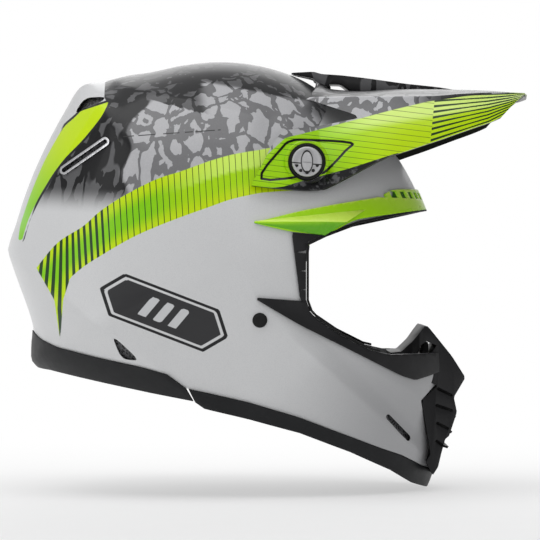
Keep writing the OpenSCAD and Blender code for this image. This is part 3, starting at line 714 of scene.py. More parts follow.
BASE_EDGE = [(-200, -50), (-146, -50), (-136, -56), (-123, -61), (-93, -68), (-63, -74), (-44, -79), (-31, -88.7),
             (-29, -89.3), (-14, -92.5), (14, -99), (49, -109.5), (85, -123.5), (121, -138), (148, -153), (200, -180)]
ABOVE_BASE = BASE_EDGE + [(200, 200), (-200, 200)]
TRIM_BOTTOM_REAR = [(-26, -98.2), (-57, -92.8), (-93, -85.8), (-131, -78.2), (-200, -72)]
TRIM_BOTTOM_FRONT = [(152, -168), (143, -165), (130, -159.5), (114, -149), (85, -135), (49, -120.8), (14, -111.2),
                     (-18, -103.6), (-24.5, -99)]
EYEPORT = [(55.4, 12), (55.4, -27), (58, -34), (63, -39.5), (80, -51), (100, -61), (114, -64), (200, -64),
           (200, 44), (141, 37.5), (92, 27.5), (72, 20)]
BROW = [(16, 27), (42, 21), (63, 19), (74, 22), (85, 28), (92, 30.5), (150, 39.5), (150, 54), (116, 52),
        (106, 46), (77, 41), (49, 35.5)]
CHIN_TRIM = [(16, -25), (49, -27.5), (58, -27), (58, -34), (63, -39.5), (80, -51), (100, -61), (118, -64),
             (160, -64), (162, -76), (144, -82), (132.5, -85), (122, -81.5), (85, -62.5), (49, -44.5)]
SIDE_COLUMN = [(43, 23), (49.5, -29), (57, -29), (57, 14), (74, 23), (92, 31), (60, 24)]
MOUTH_HOLE = [(157, -80), (137, -100), (144, -139), (141.5, -145), (147, -156), (200, -165), (200, -60), (157, -64)]
MOUTH_PROFILE = [
    (140, -46.4), (142.5, -46.8), (160.5, -68.5), (171, -84.5), (162, -98.5), (164.4, -109.5), (158.4, -126.5),
    (155.4, -128.8), (152.4, -139), (150, -148.7), (146, -154.5), (141, -145), (144.4, -139), (137.6, -100),
    (150, -89.5), (134, -84), (122, -78), (115, -66), (123.5, -65), (131.5, -57.5)]
MOUTH_PLAN = [(112, 43), (130, 46), (137, 55.5), (150, 47), (166, 34), (174, 26)]
SIDE_SLOT = ((-119, 65.5), (-89, 85))
CHIN_SLOT = ((112, -111), (126, -126))
REAR_VENT = [(-83, -51), (-63, -69.5), (-74, -69), (-78, -65)]
EXHAUST_VENT = [(-114, 106), (-106, 118.5), (-90, 118.5), (-92, 114.5)]
PIVOT, STRAP_PIVOT = (54, 70), (21, -41)
SCREW_HOLES = 7.6  # how far the side screws' small holes are from the middle
FOAM_INSET = 5.6


def eased(outline, times=2, cut=0.2):
    """An outline with its corners cut back."""
    p = np.array(outline, float)
    for _ in range(times):
        q = np.roll(p, -1, 0)
        p = np.stack([p + cut * (q - p), q - cut * (q - p)], 1).reshape(-1, 2)
    return p


# ---------------------------------------------------------------- graphics on the shell, laid out on the middle plane, with painted shade towards the chin

BAND_TOP = [(-145, -4.4), (-129.5, 14.1), (-110.3, 26.6), (-97.7, 37.7), (-80.7, 48.8), (-57, 61), (-37.7, 67.3),
            (-19.2, 74), (0, 79.6), (19.2, 82.9), (38.5, 85.8), (57.7, 82.9)]
BAND_LOW = [(57.7, 53.3), (50.3, 53.3), (28.1, 51.8), (19.2, 50.8), (0, 46.6), (-18.9, 40), (-37.7, 33.3),
            (-56.6, 25.9), (-75.5, 17.3), (-97.7, 4.4), (-110.3, -3.7), (-119.9, -11.8), (-125.1, -28.1),
            (-127.3, -58.5), (-131.7, -28.1), (-139.1, -14.8)]
REAR_RIGHT = [(-90.3, 119.1), (-91.9, 116.9), (-97.4, 106.8), (-110.3, 90.7), (-122.8, 77.8), (-131.4, 66.8),
              (-137.3, 57.5), (-144.2, 45.6), (-151, 31.1), (-155.4, 16.3)]
REAR_LEFT = [(-158.4, 16.3), (-156.9, 26.9), (-153.5, 38), (-148.4, 52.5), (-139.9, 72.8), (-131.4, 88.9),
             (-124.6, 99.9), (-116.2, 107.6), (-112, 112)]
CAMO = [(-94.7, 122), (-94, 133.2), (-68.1, 145), (-38.5, 150), (-19.2, 155), (13.3, 160), (60, 150), (70, 112.5),
        (57, 85.8), (38.5, 84), (19.2, 81), (0, 78), (-19.2, 72), (-37.7, 65), (-57, 59), (-80.7, 46), (-97.7, 36),
        (-110.3, 36), (-122.8, 36), (-134.7, 38), (-146.5, 34), (-151, 31.1), (-144.2, 45.6), (-137.3, 57.5),
        (-131.4, 66.8), (-122.8, 77.8), (-110.3, 90.7), (-97.4, 106.8), (-91.9, 116.9)]


def between(q, low, high):
    return fade((q - low) / (high - low))


def print_shell_and_shade(obj):
    p = points_of(obj)
    q = printed(p)
    x, z = q[:, 0], q[:, 1]
    band = rounded(BAND_TOP, 6, False), rounded(BAND_LOW[:12], 6, False), np.array(BAND_LOW[11:])
    store(obj, "band", inside(q, np.concatenate(band)))
    top, low = near_line(q, band[0]), near_line(q, np.r_[band[1], band[2]])
    store(obj, "across", top / np.maximum(top + low, 0.1))
    lean = 0.22 * np.clip(-112 - x, 0, 40) * np.clip((z - 5) / 40, -1, 1)
    store(obj, "phase", (x + 0.06 * z - lean) / 4.6)
    store(obj, "stroke", np.interp(x, [-140, -96, -90, -40, 20, 45], [0.52, 0.42, 0.17, 0.12, 0.09, 0.0]))
    store(obj, "pale", between(x, -58, 5) * between(-top / np.maximum(top + low, 0.1), -0.42, -0.36))
    rear = inside(q, np.r_[rounded(REAR_RIGHT, 5, False), rounded(REAR_LEFT, 5, False)])
    store(obj, "rear", rear)
    store(obj, "rear_fade", between(z, 30, 95))
    store(obj, "camo", inside(q, CAMO))
    store(obj, "cover", np.maximum(between(z + 0.05 * x, 30, 50), between(x, -84, -76)))
    below_crease = side_of(np.c_[x, x, z], (-83, 126), (22, 99))
    rear_edge = -83 + 0.7 * np.maximum(z - 96, 0) + 3 * np.sin(z / 6)
    crown = 0.08 + 0.85 * between(x + 0.2 * (z - 120), -30, -14) * between(133.2 - 0.177 * (x + 19.2) - z, -2, 2)
    tone = np.where(below_crease > 0, crown, 0.1 + 0.9 * between(x, rear_edge, rear_edge + 9))
    store(obj, "tone", np.where(np.abs(p[:, 1]) < 45, np.minimum(tone, 0.04), tone))
    # Painted shade: how far towards the chin bar's front and bottom the shell is darkened
    store(obj, "painted_shade", between(p[:, 0] - 0.6 * p[:, 2], 60, 190))
    store(obj, "seam", side_of(np.c_[x, x, z], (-86.6, 92.5), (-1.5, 98.4)))
    store(obj, "seam_on", between(x, -88, -84) * between(-x, 2, 8))
    # A plain badge: a tilted hexagon with a line round it and three bars
    tilt = math.radians(-21)
    u = (x + 50.5) * math.cos(tilt) + (z + 37.5) * math.sin(tilt)
    v = -(x + 50.5) * math.sin(tilt) + (z + 37.5) * math.cos(tilt)
    plate = 17 - np.maximum(np.abs(v), np.abs(v) * 0.5 + (np.abs(u) - 24) * 0.62)
    slant = u - 0.35 * v
    bars = np.max([np.minimum(3.3 - np.abs(slant - c), 8 - np.abs(v)) for c in (-12, 0, 12)], axis=0)
    store(obj, "plate", plate)
    store(obj, "bars", np.minimum(bars, plate - 4.2))
    store(obj, "outlined", np.where(x > -149 + 0.35 * (z - 33), 1, 0))


# ---------------------------------------------------------------- the peak's surface, in millimetres

PEAK_CENTRE = [(44, 131.4), (64, 131.2), (72, 127.8), (87, 126.2), (100, 126), (124, 127.2), (161, 127),
               (198, 125.5), (218, 122.5)]
PEAK_SHOULDER_Z = [(10, 112), (35, 114), (57, 117), (85, 117.3), (142, 117.5), (165, 119.7), (195, 122), (218, 122)]
PEAK_SHOULDER_Y = [(10, 66), (35, 66), (57, 67), (85, 75), (121, 80), (142, 78), (165, 70), (195, 52), (218, 38)]
PEAK_RIM_Z = [(10, 54), (35, 51.5), (62, 50.5), (74, 55), (106, 71.5), (130, 80.2), (150, 87), (170, 94.3),
              (190, 101.8), (205, 110), (212, 115.5), (218, 120)]
PEAK_RIM_Y = [(10, 116), (35, 116), (62, 112), (74, 111), (106, 107), (120, 103), (156, 93), (194, 72), (210, 54),
              (218, 44)]
PEAK_REAR = [(0, 64), (0.2, 63.5), (0.4, 59), (0.5, 54), (0.6, 28), (0.7, 18), (1, 12)]
PEAK_FRONT = [(0, 0), (0.2, -1), (0.4, -3), (0.6, -7), (0.8, -13), (0.92, -19), (1, -24)]
PEAK_REAR_CUT = [(-50, 116), (50, 116), (56, 116.6), (89, 104.6), (90.5, 102), (70, 98), (37, 92.7), (30, 83),
                 (22, 67), (15, 54), (14.5, 40), (-50, 40)]
PEAK_WALL, PEAK_CLEARANCE, PEAK_TIP = 2.4, 4.6, 218


def shell_y(x, z, out):
    angle = np.degrees(np.arctan2(z, x)) % 360
    e = curve(angle, SHELL_FULLNESS)
    f = np.hypot(x, z) / (curve(angle, SHELL_POLAR) + out)
    return np.where(f >= 1, 0, (SHELL_HALF_WIDTH + out) * np.maximum(1 - np.minimum(f, 1) ** e, 0) ** (1 / e))


def crown_z(x, y, out):
    z = np.full(x.shape, 125.0)
    for _ in range(5):
        angle = np.degrees(np.arctan2(z, x)) % 360
        e = curve(angle, SHELL_FULLNESS)
        reach = (curve(angle, SHELL_POLAR) + out) * (1 - (y / (SHELL_HALF_WIDTH + out)) ** e) ** (1 / e)
        z = np.sqrt(np.maximum(reach**2 - x**2, 0))
    return z


def peak_points(along, across):
    side, across = np.sign(across), np.abs(across)
    back, front = curve(across, PEAK_REAR), PEAK_TIP + curve(across, PEAK_FRONT)
    x = back + (front - back) * along
    sy, sz, c = curve(x, PEAK_SHOULDER_Y), curve(x, PEAK_SHOULDER_Z), curve(x, PEAK_CENTRE)
    top = across < 0.5
    f = np.where(top, across * 2, across * 2 - 1)
    y = np.where(top, sy * f, sy + (curve(x, PEAK_RIM_Y) - sy) * f + 3 * np.sin(np.pi * f))
    z = np.where(top, c + (sz - c) * f**2.2, sz + (curve(x, PEAK_RIM_Z) - sz) * f)
    z = np.where(top, np.maximum(z, crown_z(x, y, PEAK_WALL + 1.6)), z)
    y = np.where(top, y, np.maximum(y, shell_y(x, z, PEAK_CLEARANCE + PEAK_WALL)))
    return np.stack([x, side * y, z], -1)


TRIANGLE = [(21.5, 61.5), (37, 85), (44, 90), (54, 90.8), (88, 88.6), (84, 82), (70, 67.5), (62, 65)]


def make_peak():
    rows, columns = 200, 150
    along, across = np.meshgrid(np.linspace(0, 1, rows + 1), np.linspace(-1, 1, 2 * columns + 1), indexing="ij")
    top = peak_points(along, across)
    d = 0.004
    da = peak_points(np.clip(along + d, 0, 1), across) - peak_points(np.clip(along - d, 0, 1), across)
    dc = peak_points(along, np.clip(across + d, -1, 1)) - peak_points(along, np.clip(across - d, -1, 1))
    n = np.cross(da, dc)
    n /= np.linalg.norm(n, axis=2, keepdims=True)
    # The arms carry a sunk panel, and the rim turns out a little
    q = printed(top.reshape(-1, 3))
    panel = inside(q, rounded(TRIANGLE, 4)).reshape(along.shape)
    arm = np.abs(across) > 0.5
    sunk = np.where(arm, -0.9 * fade(panel / 1.6 + 0.5), 0)
    shoulder = 0.7 * np.exp(-(((np.abs(across) - 0.5) * 26) ** 2)) * fade((top[..., 0] - 60) / 30)
    top = top + n * (sunk + shoulder)[..., None]
    low = top - n * PEAK_WALL
    m = 2 * columns + 1
    count = (rows + 1) * m
    i, j = np.meshgrid(np.arange(rows), np.arange(m - 1), indexing="ij")
    a = (i * m + j).ravel()
    b, c, e = a + 1, a + m + 1, a + m
    faces = np.r_[np.c_[a, e, c, b], np.c_[a, b, c, e] + count].tolist()
    rim = [(0, k) for k in range(m)] + [(k, m - 1) for k in range(1, rows + 1)] + \
        [(rows, k) for k in range(m - 2, -1, -1)] + [(k, 0) for k in range(rows - 1, 0, -1)]
    ids = [r * m + k for r, k in rim]
    faces += [(u, v, v + count, u + count) for u, v in zip(ids, ids[1:] + ids[:1])]
    obj = make("peak_visor", np.r_[top.reshape(-1, 3), low.reshape(-1, 3)], faces)
    store(obj, "under", np.repeat([0.0, 1.0], count))
    for side in (-1, 1):
        boss = turned("boss", [(94, 0), (94, 15.6), (114.4, 15.6), (115.2, 14.8), (115.2, 0)], PIVOT, side, 64)
        boolean(boss, shell_bulk(-PEAK_CLEARANCE, 120, 24))
        boolean(obj, boss, "UNION")
    cut(obj, eased(PEAK_REAR_CUT, 1, 0.1))
    cut(obj, circle(*PIVOT, 13.3, 64))
    cut(obj, rectangle(40, 71, -5.6, 5.6), 100, 160, "z")
    return obj


def turned(name, profile, place, side, steps=64):
    """A solid turned about an axis along Y at [x, z]: profile is (y, radius), from inside to outside."""
    ring = [math.tau * k / steps for k in range(steps)]
    points, faces, rows = [], [], []
    for y, r in profile:
        if r < 1e-6:
            rows.append([len(points)])
            points.append((place[0], side * y, place[1]))
        else:
            rows.append([len(points) + k for k in range(steps)])
            points += [(place[0] + r * math.cos(t), side * y, place[1] + r * math.sin(t)) for t in ring]
    for a, b in zip(rows[:-1], rows[1:]):
        for k in range(steps):
            n = (k + 1) % steps
            if len(a) == 1 and len(b) == 1:
                continue
            if len(a) == 1:
                f = (a[0], b[k], b[n])
            elif len(b) == 1:
                f = (a[k], b[0], a[n])
            else:
                f = (a[k], b[k], b[n], a[n])
            faces.append(f if side > 0 else f[::-1])
    return make(name, points, faces, True)


GREEN_TOP = [(10, 66), (22, 76), (39.5, 92), (60, 97), (92.1, 105.6), (118, 112.5), (144.8, 118.8), (173.9, 123),
             (207.7, 125.4), (225, 126)]
LIP_TOP = [(0, 56), (20, 54), (38, 55.9), (52.5, 60.2), (68.8, 64.6), (86.3, 69.2), (119.9, 80), (124, 81)]
RIM_LINE = [(62, 53), (74, 58), (106, 73.5), (130, 82), (150, 89), (170, 96), (190, 103), (205, 111), (218, 120)]


def print_peak_and_highlight(obj):
    p = points_of(obj)
    q = printed(p)
    x, z = q[:, 0], q[:, 1]
    below = curve(p[:, 0], PEAK_SHOULDER_Z) - p[:, 2]
    side = (np.abs(p[:, 1]) > curve(p[:, 0], PEAK_SHOULDER_Y) - 3) & (below > -3)
    green_top, lip_top, rim = [np.interp(x, *np.array(line).T) for line in (GREEN_TOP, LIP_TOP, RIM_LINE)]
    tip = np.where(p[:, 0] > 188, p[:, 0] + 0.5 * np.abs(p[:, 1]) - 216, -4)
    store(obj, "green", np.where(side, green_top - z, tip))
    store(obj, "tone", np.where(side, 0.85 - 0.3 * between(x, 110, 160), 0.14 - 0.1 * between(p[:, 0], 120, 190)))
    store(obj, "pale", 0.35 + 0.5 * between(x, 60, 130))
    height = (z - rim) / np.maximum(125.5 - rim, 3)
    # Painted highlight: how much of the upper part of each arm's green is painted paler
    store(obj, "light", 0.75 * between(height, 0.45, 0.6) * between(x, 60, 110))
    store(obj, "phase", (z + 0.12 * x) / 4.3)
    store(obj, "fan_phase", height * 9)
    store(obj, "fan", np.clip(x - 148 - 0.1 * (z - 100), -9, 9))
    store(obj, "stroke", np.interp(x, [148, 175, 205], [0.45, 0.3, 0.6]))
    store(obj, "outline", np.where(side & (x < 100), inside(q, rounded(TRIANGLE, 4)), -20))
    store(obj, "lip", np.where(side & (x < 124), lip_top - z, -20))


# ---------------------------------------------------------------- soft pieces


def evened(obj, voxel, times):
    """Makes a mesh's faces about one size, and rounds it off."""
    m = obj.modifiers.new("even", "REMESH")
    m.mode, m.voxel_size, m.use_smooth_shade = "VOXEL", voxel * MM, True
    m = obj.modifiers.new("relax", "SMOOTH")
    m.factor, m.iterations = 0.5, times
    return baked(obj)


def inflated(obj, pressure, cap, frames=20):
    """Blows a closed form up as cloth, and keeps each point within a distance of where it started."""
    start = points_of(obj)
    m = obj.modifiers.new("cloth", "CLOTH")
    s = m.settings
    s.use_pressure, s.uniform_pressure_force = True, pressure
    s.effector_weights.gravity = 0
    s.quality = 5
    s.tension_stiffness = s.compression_stiffness = 12
    s.mass = 0.25
    scene = bpy.context.scene
    m.point_cache.frame_start, m.point_cache.frame_end = 1, frames
    for f in range(1, frames + 1):
        scene.frame_set(f)
    baked(obj)
    scene.frame_set(1)
    move = points_of(obj) - start
    far = np.linalg.norm(move, axis=1)
    move *= (np.minimum(far, cap) / np.maximum(far, 1e-6))[:, None]
    move_points(obj, start + move)
    m = obj.modifiers.new("fine", "SUBSURF")
    m.levels = m.render_levels = 1
    baked(obj)
    obj.data.shade_smooth()
    return obj


def channels(obj, depth, distance, width=2.2):
    """Presses sewn channels in, where a distance field is near zero, and keeps it for the stitching."""
    p = points_of(obj)
    d = distance(p)
    pressed = depth * np.exp(-((d / width) ** 2))
    move_points(obj, p - read(obj.data.vertex_normals, "vector") * pressed[:, None])
    store(obj, "seam", d)


def tape(name, route, width, thickness, x):
    """Flat webbing along a smooth route of [y, z] points, with rounded edges."""
    line = rounded(route, 5, False)
    t = np.gradient(line, axis=0)
    t /= np.linalg.norm(t, axis=1)[:, None]
    across = np.linspace(-1, 1, 13)
    h = thickness / 2 * np.sqrt(1 - np.abs(across) ** 6) * 0.94 + 0.03
    u = across * width / 2
    ring = [*zip(u, h), *zip(u[::-1], -h[::-1])]
    points = [(x + u, p[0] - d[1] * v, p[1] + d[0] * v) for p, d in zip(line, t) for u, v in ring]
    n = len(ring)
    faces = [(r * n + k, r * n + (k + 1) % n, (r + 1) * n + (k + 1) % n, (r + 1) * n + k)
             for r in range(len(line) - 1) for k in range(n)]
    faces += [list(range(n))[::-1], [(len(line) - 1) * n + k for k in range(n)]]
    return smooth(make(name, points, faces, True), 50)


# ---------------------------------------------------------------- the pieces

WHITE_SHELL, PEAK_PRINT = shell_paint(), peak_paint()
LIME_GLOSS, SCREW_SILVER = facets(), screw_face()
SLOT_SHADE_GREEN, DARK_CAMO = slot_green(), dark_camo()
PLASTIC = moulded("black_plastic", (0.010, 0.010, 0.011), 0.42)
TRIM = moulded("grey_rubber", (0.008, 0.0085, 0.0095), 0.5, 1400, 0.04)
RUBBER = moulded("black_rubber", (0.008, 0.008, 0.008), 0.66, 1200, 0.05)
STEEL, SCREEN, FOAM = metal("bright_metal", (0.80, 0.80, 0.82)), screen(), foam()
LINER = knit("liner_knit", (0.03, 0.032, 0.036), (0.12, 0.125, 0.135), (0.35, 0.6, 0.02))
ROLL = knit("roll_knit", (0.016, 0.016, 0.018), (0.075, 0.077, 0.083), (0.4, 0.4, 0.42))
TAB = knit("tab_fabric", (0.35, 0.012, 0.01), (0.6, 0.03, 0.02))
WEBBING = weave("webbing_weave", (0.01, 0.01, 0.011), (0.055, 0.055, 0.06))

shell = layer("shell", 0, 3.6, ABOVE_BASE, turns=400, side=110, cuts=[
    grown(EYEPORT, 2), MOUTH_HOLE, slot_outline(*SIDE_SLOT, 3.6), slot_outline(*CHIN_SLOT, 2.2), eased(REAR_VENT),
    eased(EXHAUST_VENT), circle(*PIVOT, 7.4), circle(*STRAP_PIVOT, 2.9),
])
# A rounded ridge runs down the chin bar, and stands out most in the middle
p = points_of(shell)
q = printed(p)
above = side_of(np.c_[q[:, 0], q[:, 0], q[:, 1]], (34.1, -47.5), (144.6, -146.9))
shape = np.exp(-np.maximum(above, 0) / 4.5 - np.maximum(-above, 0) / 22) - 0.45 * np.exp(-(((above - 14) / 8) ** 2))
shape *= between(q[:, 0], 30, 72) * (1 - between(q[:, 0], 132, 146))
for side in (-1, 1):
    near = (p[:, 1] * side > 20) & (np.abs(shape) > 0.02) & (q[:, 0] > 28) & (q[:, 1] < -30)
    p[near] += shell_normal(p[near, 0], p[near, 2], side) * (2.8 * shape[near])[:, None]
move_points(shell, p)
print_shell_and_shade(shell)
finish_piece(smooth(shell, 38), "helmet", WHITE_SHELL, "shell_paint", "outer_shell")

visor = make_peak()
print_peak_and_highlight(visor)
finish_piece(smooth(visor, 40), "peak", PEAK_PRINT, "peak_paint", "peak")


def on_body(obj, body, material, slot, *nodes, edge=0.0, angle=38):
    """Finishes a hard piece: small round edges, smooth faces, its body and its material."""
    if edge:
        bevelled(obj, edge, angle)
    else:
        smooth(obj, angle)
    return finish_piece(obj, body, material, slot, *nodes)


# Brow cover: lime moulding with a row of slots, and a wedge at each upper corner of the eyeport
brow = layer("brow_moulding", -1.8, -0.2, eased(BROW, 2, 0.12), turns=300, side=80)
for y in range(-77, 78, 11):
    cut(brow, rectangle(100, 160, y - 3.6, y + 3.6), 46.0, 50.6, "z")


def wedge(side, word):
    """The wedge that stands out from the brow: a ridge whose upper facet its material paints bright and whose lower
    facet it paints dark, as painted light and shade.
    """
    top = [(17.0, 28.0), (36.6, 30.2), (56.2, 32.3), (75.8, 34.5), (95.4, 36.6)]
    ridge = [(17.0, 27.3), (32.4, 27.2), (47.7, 27), (63, 26.7), (78.4, 26.2)]
    low = [(17.0, 26.6), (29.2, 24.2), (41.5, 21.9), (53.8, 19.7), (66, 18.1)]
    out = [1.8, 3.6, 5.4, 7.2, 8.6]
    rows = []
    for line, lift in ((top, [1.9] * 5), (ridge, out), (low, [1.9] * 5)):
        x, z = rounded(line, 8, False).T
        h = np.interp(np.linspace(0, 4, len(x)), range(5), lift)
        rows.append(shell_at(x, z, 0, side) + shell_normal(x, z, side) * h[:, None])
    rings = rows + [shell_at(*rounded(line, 8, False).T, 0.4, side) for line in (low, top)]
    n, m = len(rings[0]), len(rings)
    faces = [(a * n + k, a * n + k + 1, b * n + k + 1, b * n + k)
             for a, b in zip(range(m), [*range(1, m), 0]) for k in range(n - 1)]
    faces += [[a * n for a in range(m)], [a * n + n - 1 for a in range(m)][::-1]]
    return make(f"brow_wedge_{word}", np.concatenate(rings), faces, True)


on_body(brow, "helmet", LIME_GLOSS, "brow_paint", "brow_cover", edge=0.5)
# A very dark green sheet under the brow's slots: painted shade, so the openings look dark and do not show the white
# shell
slot_shade_sheet = layer("brow_slot_shade_sheet", -0.7, -0.1, [(115.5, 45.2), (160, 45.2), (160, 50.4), (116.5, 50.4)], (), 240, 60)
cut(slot_shade_sheet, rectangle(0, 200, -84, 84), 0, 100, "z", keep=True)
on_body(slot_shade_sheet, "helmet", SLOT_SHADE_GREEN, "brow_paint", "brow_cover")
for side, word in SIDES:
    on_body(wedge(side, word), "helmet", LIME_GLOSS, "brow_paint", "brow_cover", edge=0.4, angle=25)

gasket = layer("eyeport_seal", -1.8, 9, grown(EYEPORT, 1.6), cuts=[EYEPORT], turns=240, side=60)
cut(gasket, rectangle(106, 206, -200, 200), -90, -48, "z")
on_body(gasket, "helmet", RUBBER, "black_rubber", "eyeport_gasket", edge=0.5)

for name, outline in (("chin_trim", CHIN_TRIM), ("side_column", SIDE_COLUMN)):
    cuts = [grown(EYEPORT, 2), MOUTH_HOLE, grown(BROW, 0.4)]
    piece = layer(name, -2.2, -0.3, eased(outline, 1, 0.1), cuts, 300, 80)
    if name == "side_column":
        for x, z in ((46.6, 6.6), (48.6, -6.6), (49.6, -19.8)):
            cut(piece, [(x, z), (x + 7, z + 1.2), (x + 7, z - 0.8)], -200, 200)
    on_body(piece, "helmet", PLASTIC, "black_plastic", "chin_bar_trim", edge=0.7)

# Mouth vent
plan = [(x, -y) for x, y in MOUTH_PLAN] + MOUTH_PLAN[::-1]
mouth = prism(eased(MOUTH_PROFILE, 1, 0.08), -65, 65)
mouth.name = "mouth_frame"
cut(mouth, eased(plan, 1, 0.12), -200, 0, "z", keep=True)
cut(mouth, rectangle(120, 180, -24, 24), -138, -101, "z")
cut(mouth, [(135, -66), (137, -60.5), (141, -57.5), (149, -60.5), (144.5, -66.5), (138, -69.5)], -100, 100)
# Grooves that step the frame's flanks, and small pits in its cheeks
GROOVES = [((150, -92), (160, -97)), ((149, -104), (160, -108)), ((149.5, -117), (157, -121)),
           ((149, -130), (153, -133))]
for side in (-1, 1):
    for k, groove in enumerate(GROOVES):
        cut(mouth, slot_outline(*groove, 1.1), *sorted((side * (33 + 1.2 * k), side * 70)))
    for k in range(4):
        pit = slot_outline((127.5 + 4.6 * k, -72.5 - 0.8 * k), (129 + 4.6 * k, -77.5 - 0.9 * k), 0.9)
        cut(mouth, pit, *sorted((side * 40, side * 70)))
on_body(mouth, "helmet", PLASTIC, "black_plastic", "mouthpiece", edge=0.8, angle=28)

# Rubber edges along the base
for name, bottom, ends, node in (("base_edge_front", TRIM_BOTTOM_FRONT, (-29, 160), "base_trim_front"),
                                 ("base_edge_rear", TRIM_BOTTOM_REAR, (-200, -30), "base_trim_rear")):
    strip = [(x, z - 0.3) for x, z in BASE_EDGE if ends[0] <= x <= ends[1]] + bottom
    on_body(layer(name, -1.6, 7.2, strip, turns=300, side=80), "helmet", TRIM, "black_rubber", node, edge=1.0)

# Vents
a, b = SIDE_SLOT
bezel = layer("slot_frames", -1.2, 3.6, slot_outline(a, b, 3.3, 16), [slot_outline(a, b, 1.7, 16)], 720, 160)
on_body(bezel, "helmet", STEEL, "bright_metal", "side_vent_bezels", edge=0.5)
for name, outline, node in (("slot_mesh", slot_outline(a, b, 6), "side_vent_screens"),
                            ("rear_mesh", grown(REAR_VENT, 3), "rear_vent_screens"),
                            ("chin_mesh", slot_outline(*CHIN_SLOT, 4.5), "chin_vent_screens"),
                            ("exhaust_mesh", grown(EXHAUST_VENT, 3), "exhaust_screens")):
    on_body(layer(name, 3.9, 4.9, outline, turns=180, side=48), "helmet", SCREEN, "black_mesh", node)

# Foam
FOAM_FRONT = [(6.2, -26), (66, -26), (150, 30), (150, 190), (6.2, 190)]
FOAM_REAR = [(-180, -46), (-146, -48), (-96, -62), (-62, -56), (-46, -26), (6, -26), (6, 190), (-180, 190)]
for end, outline in (("front", FOAM_FRONT), ("rear", FOAM_REAR)):
    piece = trimmed(f"foam_{end}", shell_bulk(FOAM_INSET, 180, 40), outline, cavity_bulk(0), prism(grown(EYEPORT, 2)),
                    prism(circle(*PIVOT, 9.6)))
    on_body(piece, "helmet", FOAM, "foam", f"crown_foam_{end}", edge=0.8)
chin_pad = trimmed("foam_chin", shell_bulk(FOAM_INSET + 1.8, 180, 40),
                   [(74, -54), (114, -72), (131, -90), (133, -128), (128, -132), (74, -112)],
                   cavity_bulk(0), prism(MOUTH_HOLE))
on_body(chin_pad, "helmet", FOAM, "foam", "chin_foam", edge=0.8)

# The fin on the peak, with the slot for the top screw
FIN = [(43.6, 139.6), (60, 140.2), (66.5, 138.2), (81, 137.2), (99, 135.2), (127, 131.6), (152, 129.3), (166, 127.2),
       (140, 127), (110, 126.3), (88, 126), (84, 128.2), (80, 131), (71.5, 131.2), (73, 127.6), (67, 130.4),
       (61, 133.4), (60, 135.2), (46, 138.3)]
FIN_PLAN = [(43, -9), (58, -12), (72, -17), (100, -15), (167, -2), (167, 2), (100, 15), (72, 17), (58, 12), (43, 9)]


def sector(inner, outer, start, end, half_width):
    turn = [math.radians(start + (end - start) * i / 12) for i in range(13)]
    ring = [(PIVOT[0] + outer * math.sin(t), PIVOT[1] + outer * math.cos(t)) for t in turn] + \
        [(PIVOT[0] + inner * math.sin(t), PIVOT[1] + inner * math.cos(t)) for t in turn[::-1]]
    return prism(ring, -half_width, half_width)


fin = prism(eased(FIN, 1, 0.12), -40, 40)
fin.name = "peak_fin"
cut(fin, eased(FIN_PLAN, 1, 0.15), 100, 160, "z", keep=True)
boolean(fin, sector(67.4, 90, -5, 14.2, 5.1))
boolean(fin, sector(50, 90, -3.2, 12.4, 2.9))
boolean(fin, sector(50, 66, -5, 14.2, 5.6))
on_body(fin, "peak", DARK_CAMO, "dark_paint", "peak_bridge", edge=0.6, angle=25)

# Side screws: a dished disc with an upright oval grip, a split across it and a row of small holes
# Profiles as (y, radius). The bush and the washer are open towards the screw that fills them
SCREW = [(87, 0), (87, 3), (116.8, 3), (116.8, 10.1), (117.2, 10.5), (120.3, 10.5), (120.9, 10.2), (121.2, 9.6),
         (121.0, 8.8), (120.2, 7.6), (119.9, 5.4), (119.9, 0)]
BUSH = [(109.4, 3.06), (109.4, 12.6), (109.8, 13), (114.6, 13), (115.2, 12.4), (115.2, 3.06)]
WASHER = [(115.5, 3.1), (115.5, 12.2), (115.9, 12.6), (116.3, 12.6), (116.7, 12.2), (116.7, 3.1)]
x, z = PIVOT
for side, word in SIDES:
    disc = turned(f"side_screw_{word}", SCREW, PIVOT, side, 96)
    oval = [(x + 3.3 * math.cos(t), z + 7.2 * math.sin(t)) for t in np.linspace(0, math.tau, 48, False)]
    boolean(disc, prism(oval, *sorted((side * 118, side * 122.3))), "UNION")
    split = [(x - 9, z + 0.5), (x + 9, z - 0.9), (x + 9, z - 1.7), (x - 9, z - 0.3)]
    cut(disc, split, *sorted((side * 121.3, side * 125)))
    for a in np.radians(range(200, 341, 35)):
        hole = circle(x + SCREW_HOLES * math.cos(a), z + SCREW_HOLES * math.sin(a), 1.1, 24)
        cut(disc, hole, *sorted((side * 119.2, side * 125)))
    on_body(disc, f"screw_{word}", SCREW_SILVER, "bright_metal", f"peak_screw_{word}", edge=0.35)
    for name, profile, body, node in (("ring", BUSH, "peak", "bush"), ("washer", WASHER, "helmet", "washer")):
        ring = turned(f"side_{name}_{word}", profile, PIVOT, side, 96)
        on_body(ring, body, RUBBER, "black_rubber", f"peak_{node}_{word}")

# Rivets with domed caps
RIVET = [(112.6, 0), (112.6, 5), (114.1, 5), (114.1, 2.5), (125.6, 2.5), (125.6, 5.2), (126.4, 5.2), (127.4, 4.4),
         (127.9, 3.2), (127.7, 2.0), (127.4, 0)]
for side, word in SIDES:
    cap = turned(f"rivet_{word}", RIVET, STRAP_PIVOT, side, 48)
    on_body(cap, "helmet", RUBBER, "dark_metal", "shell_rivets")

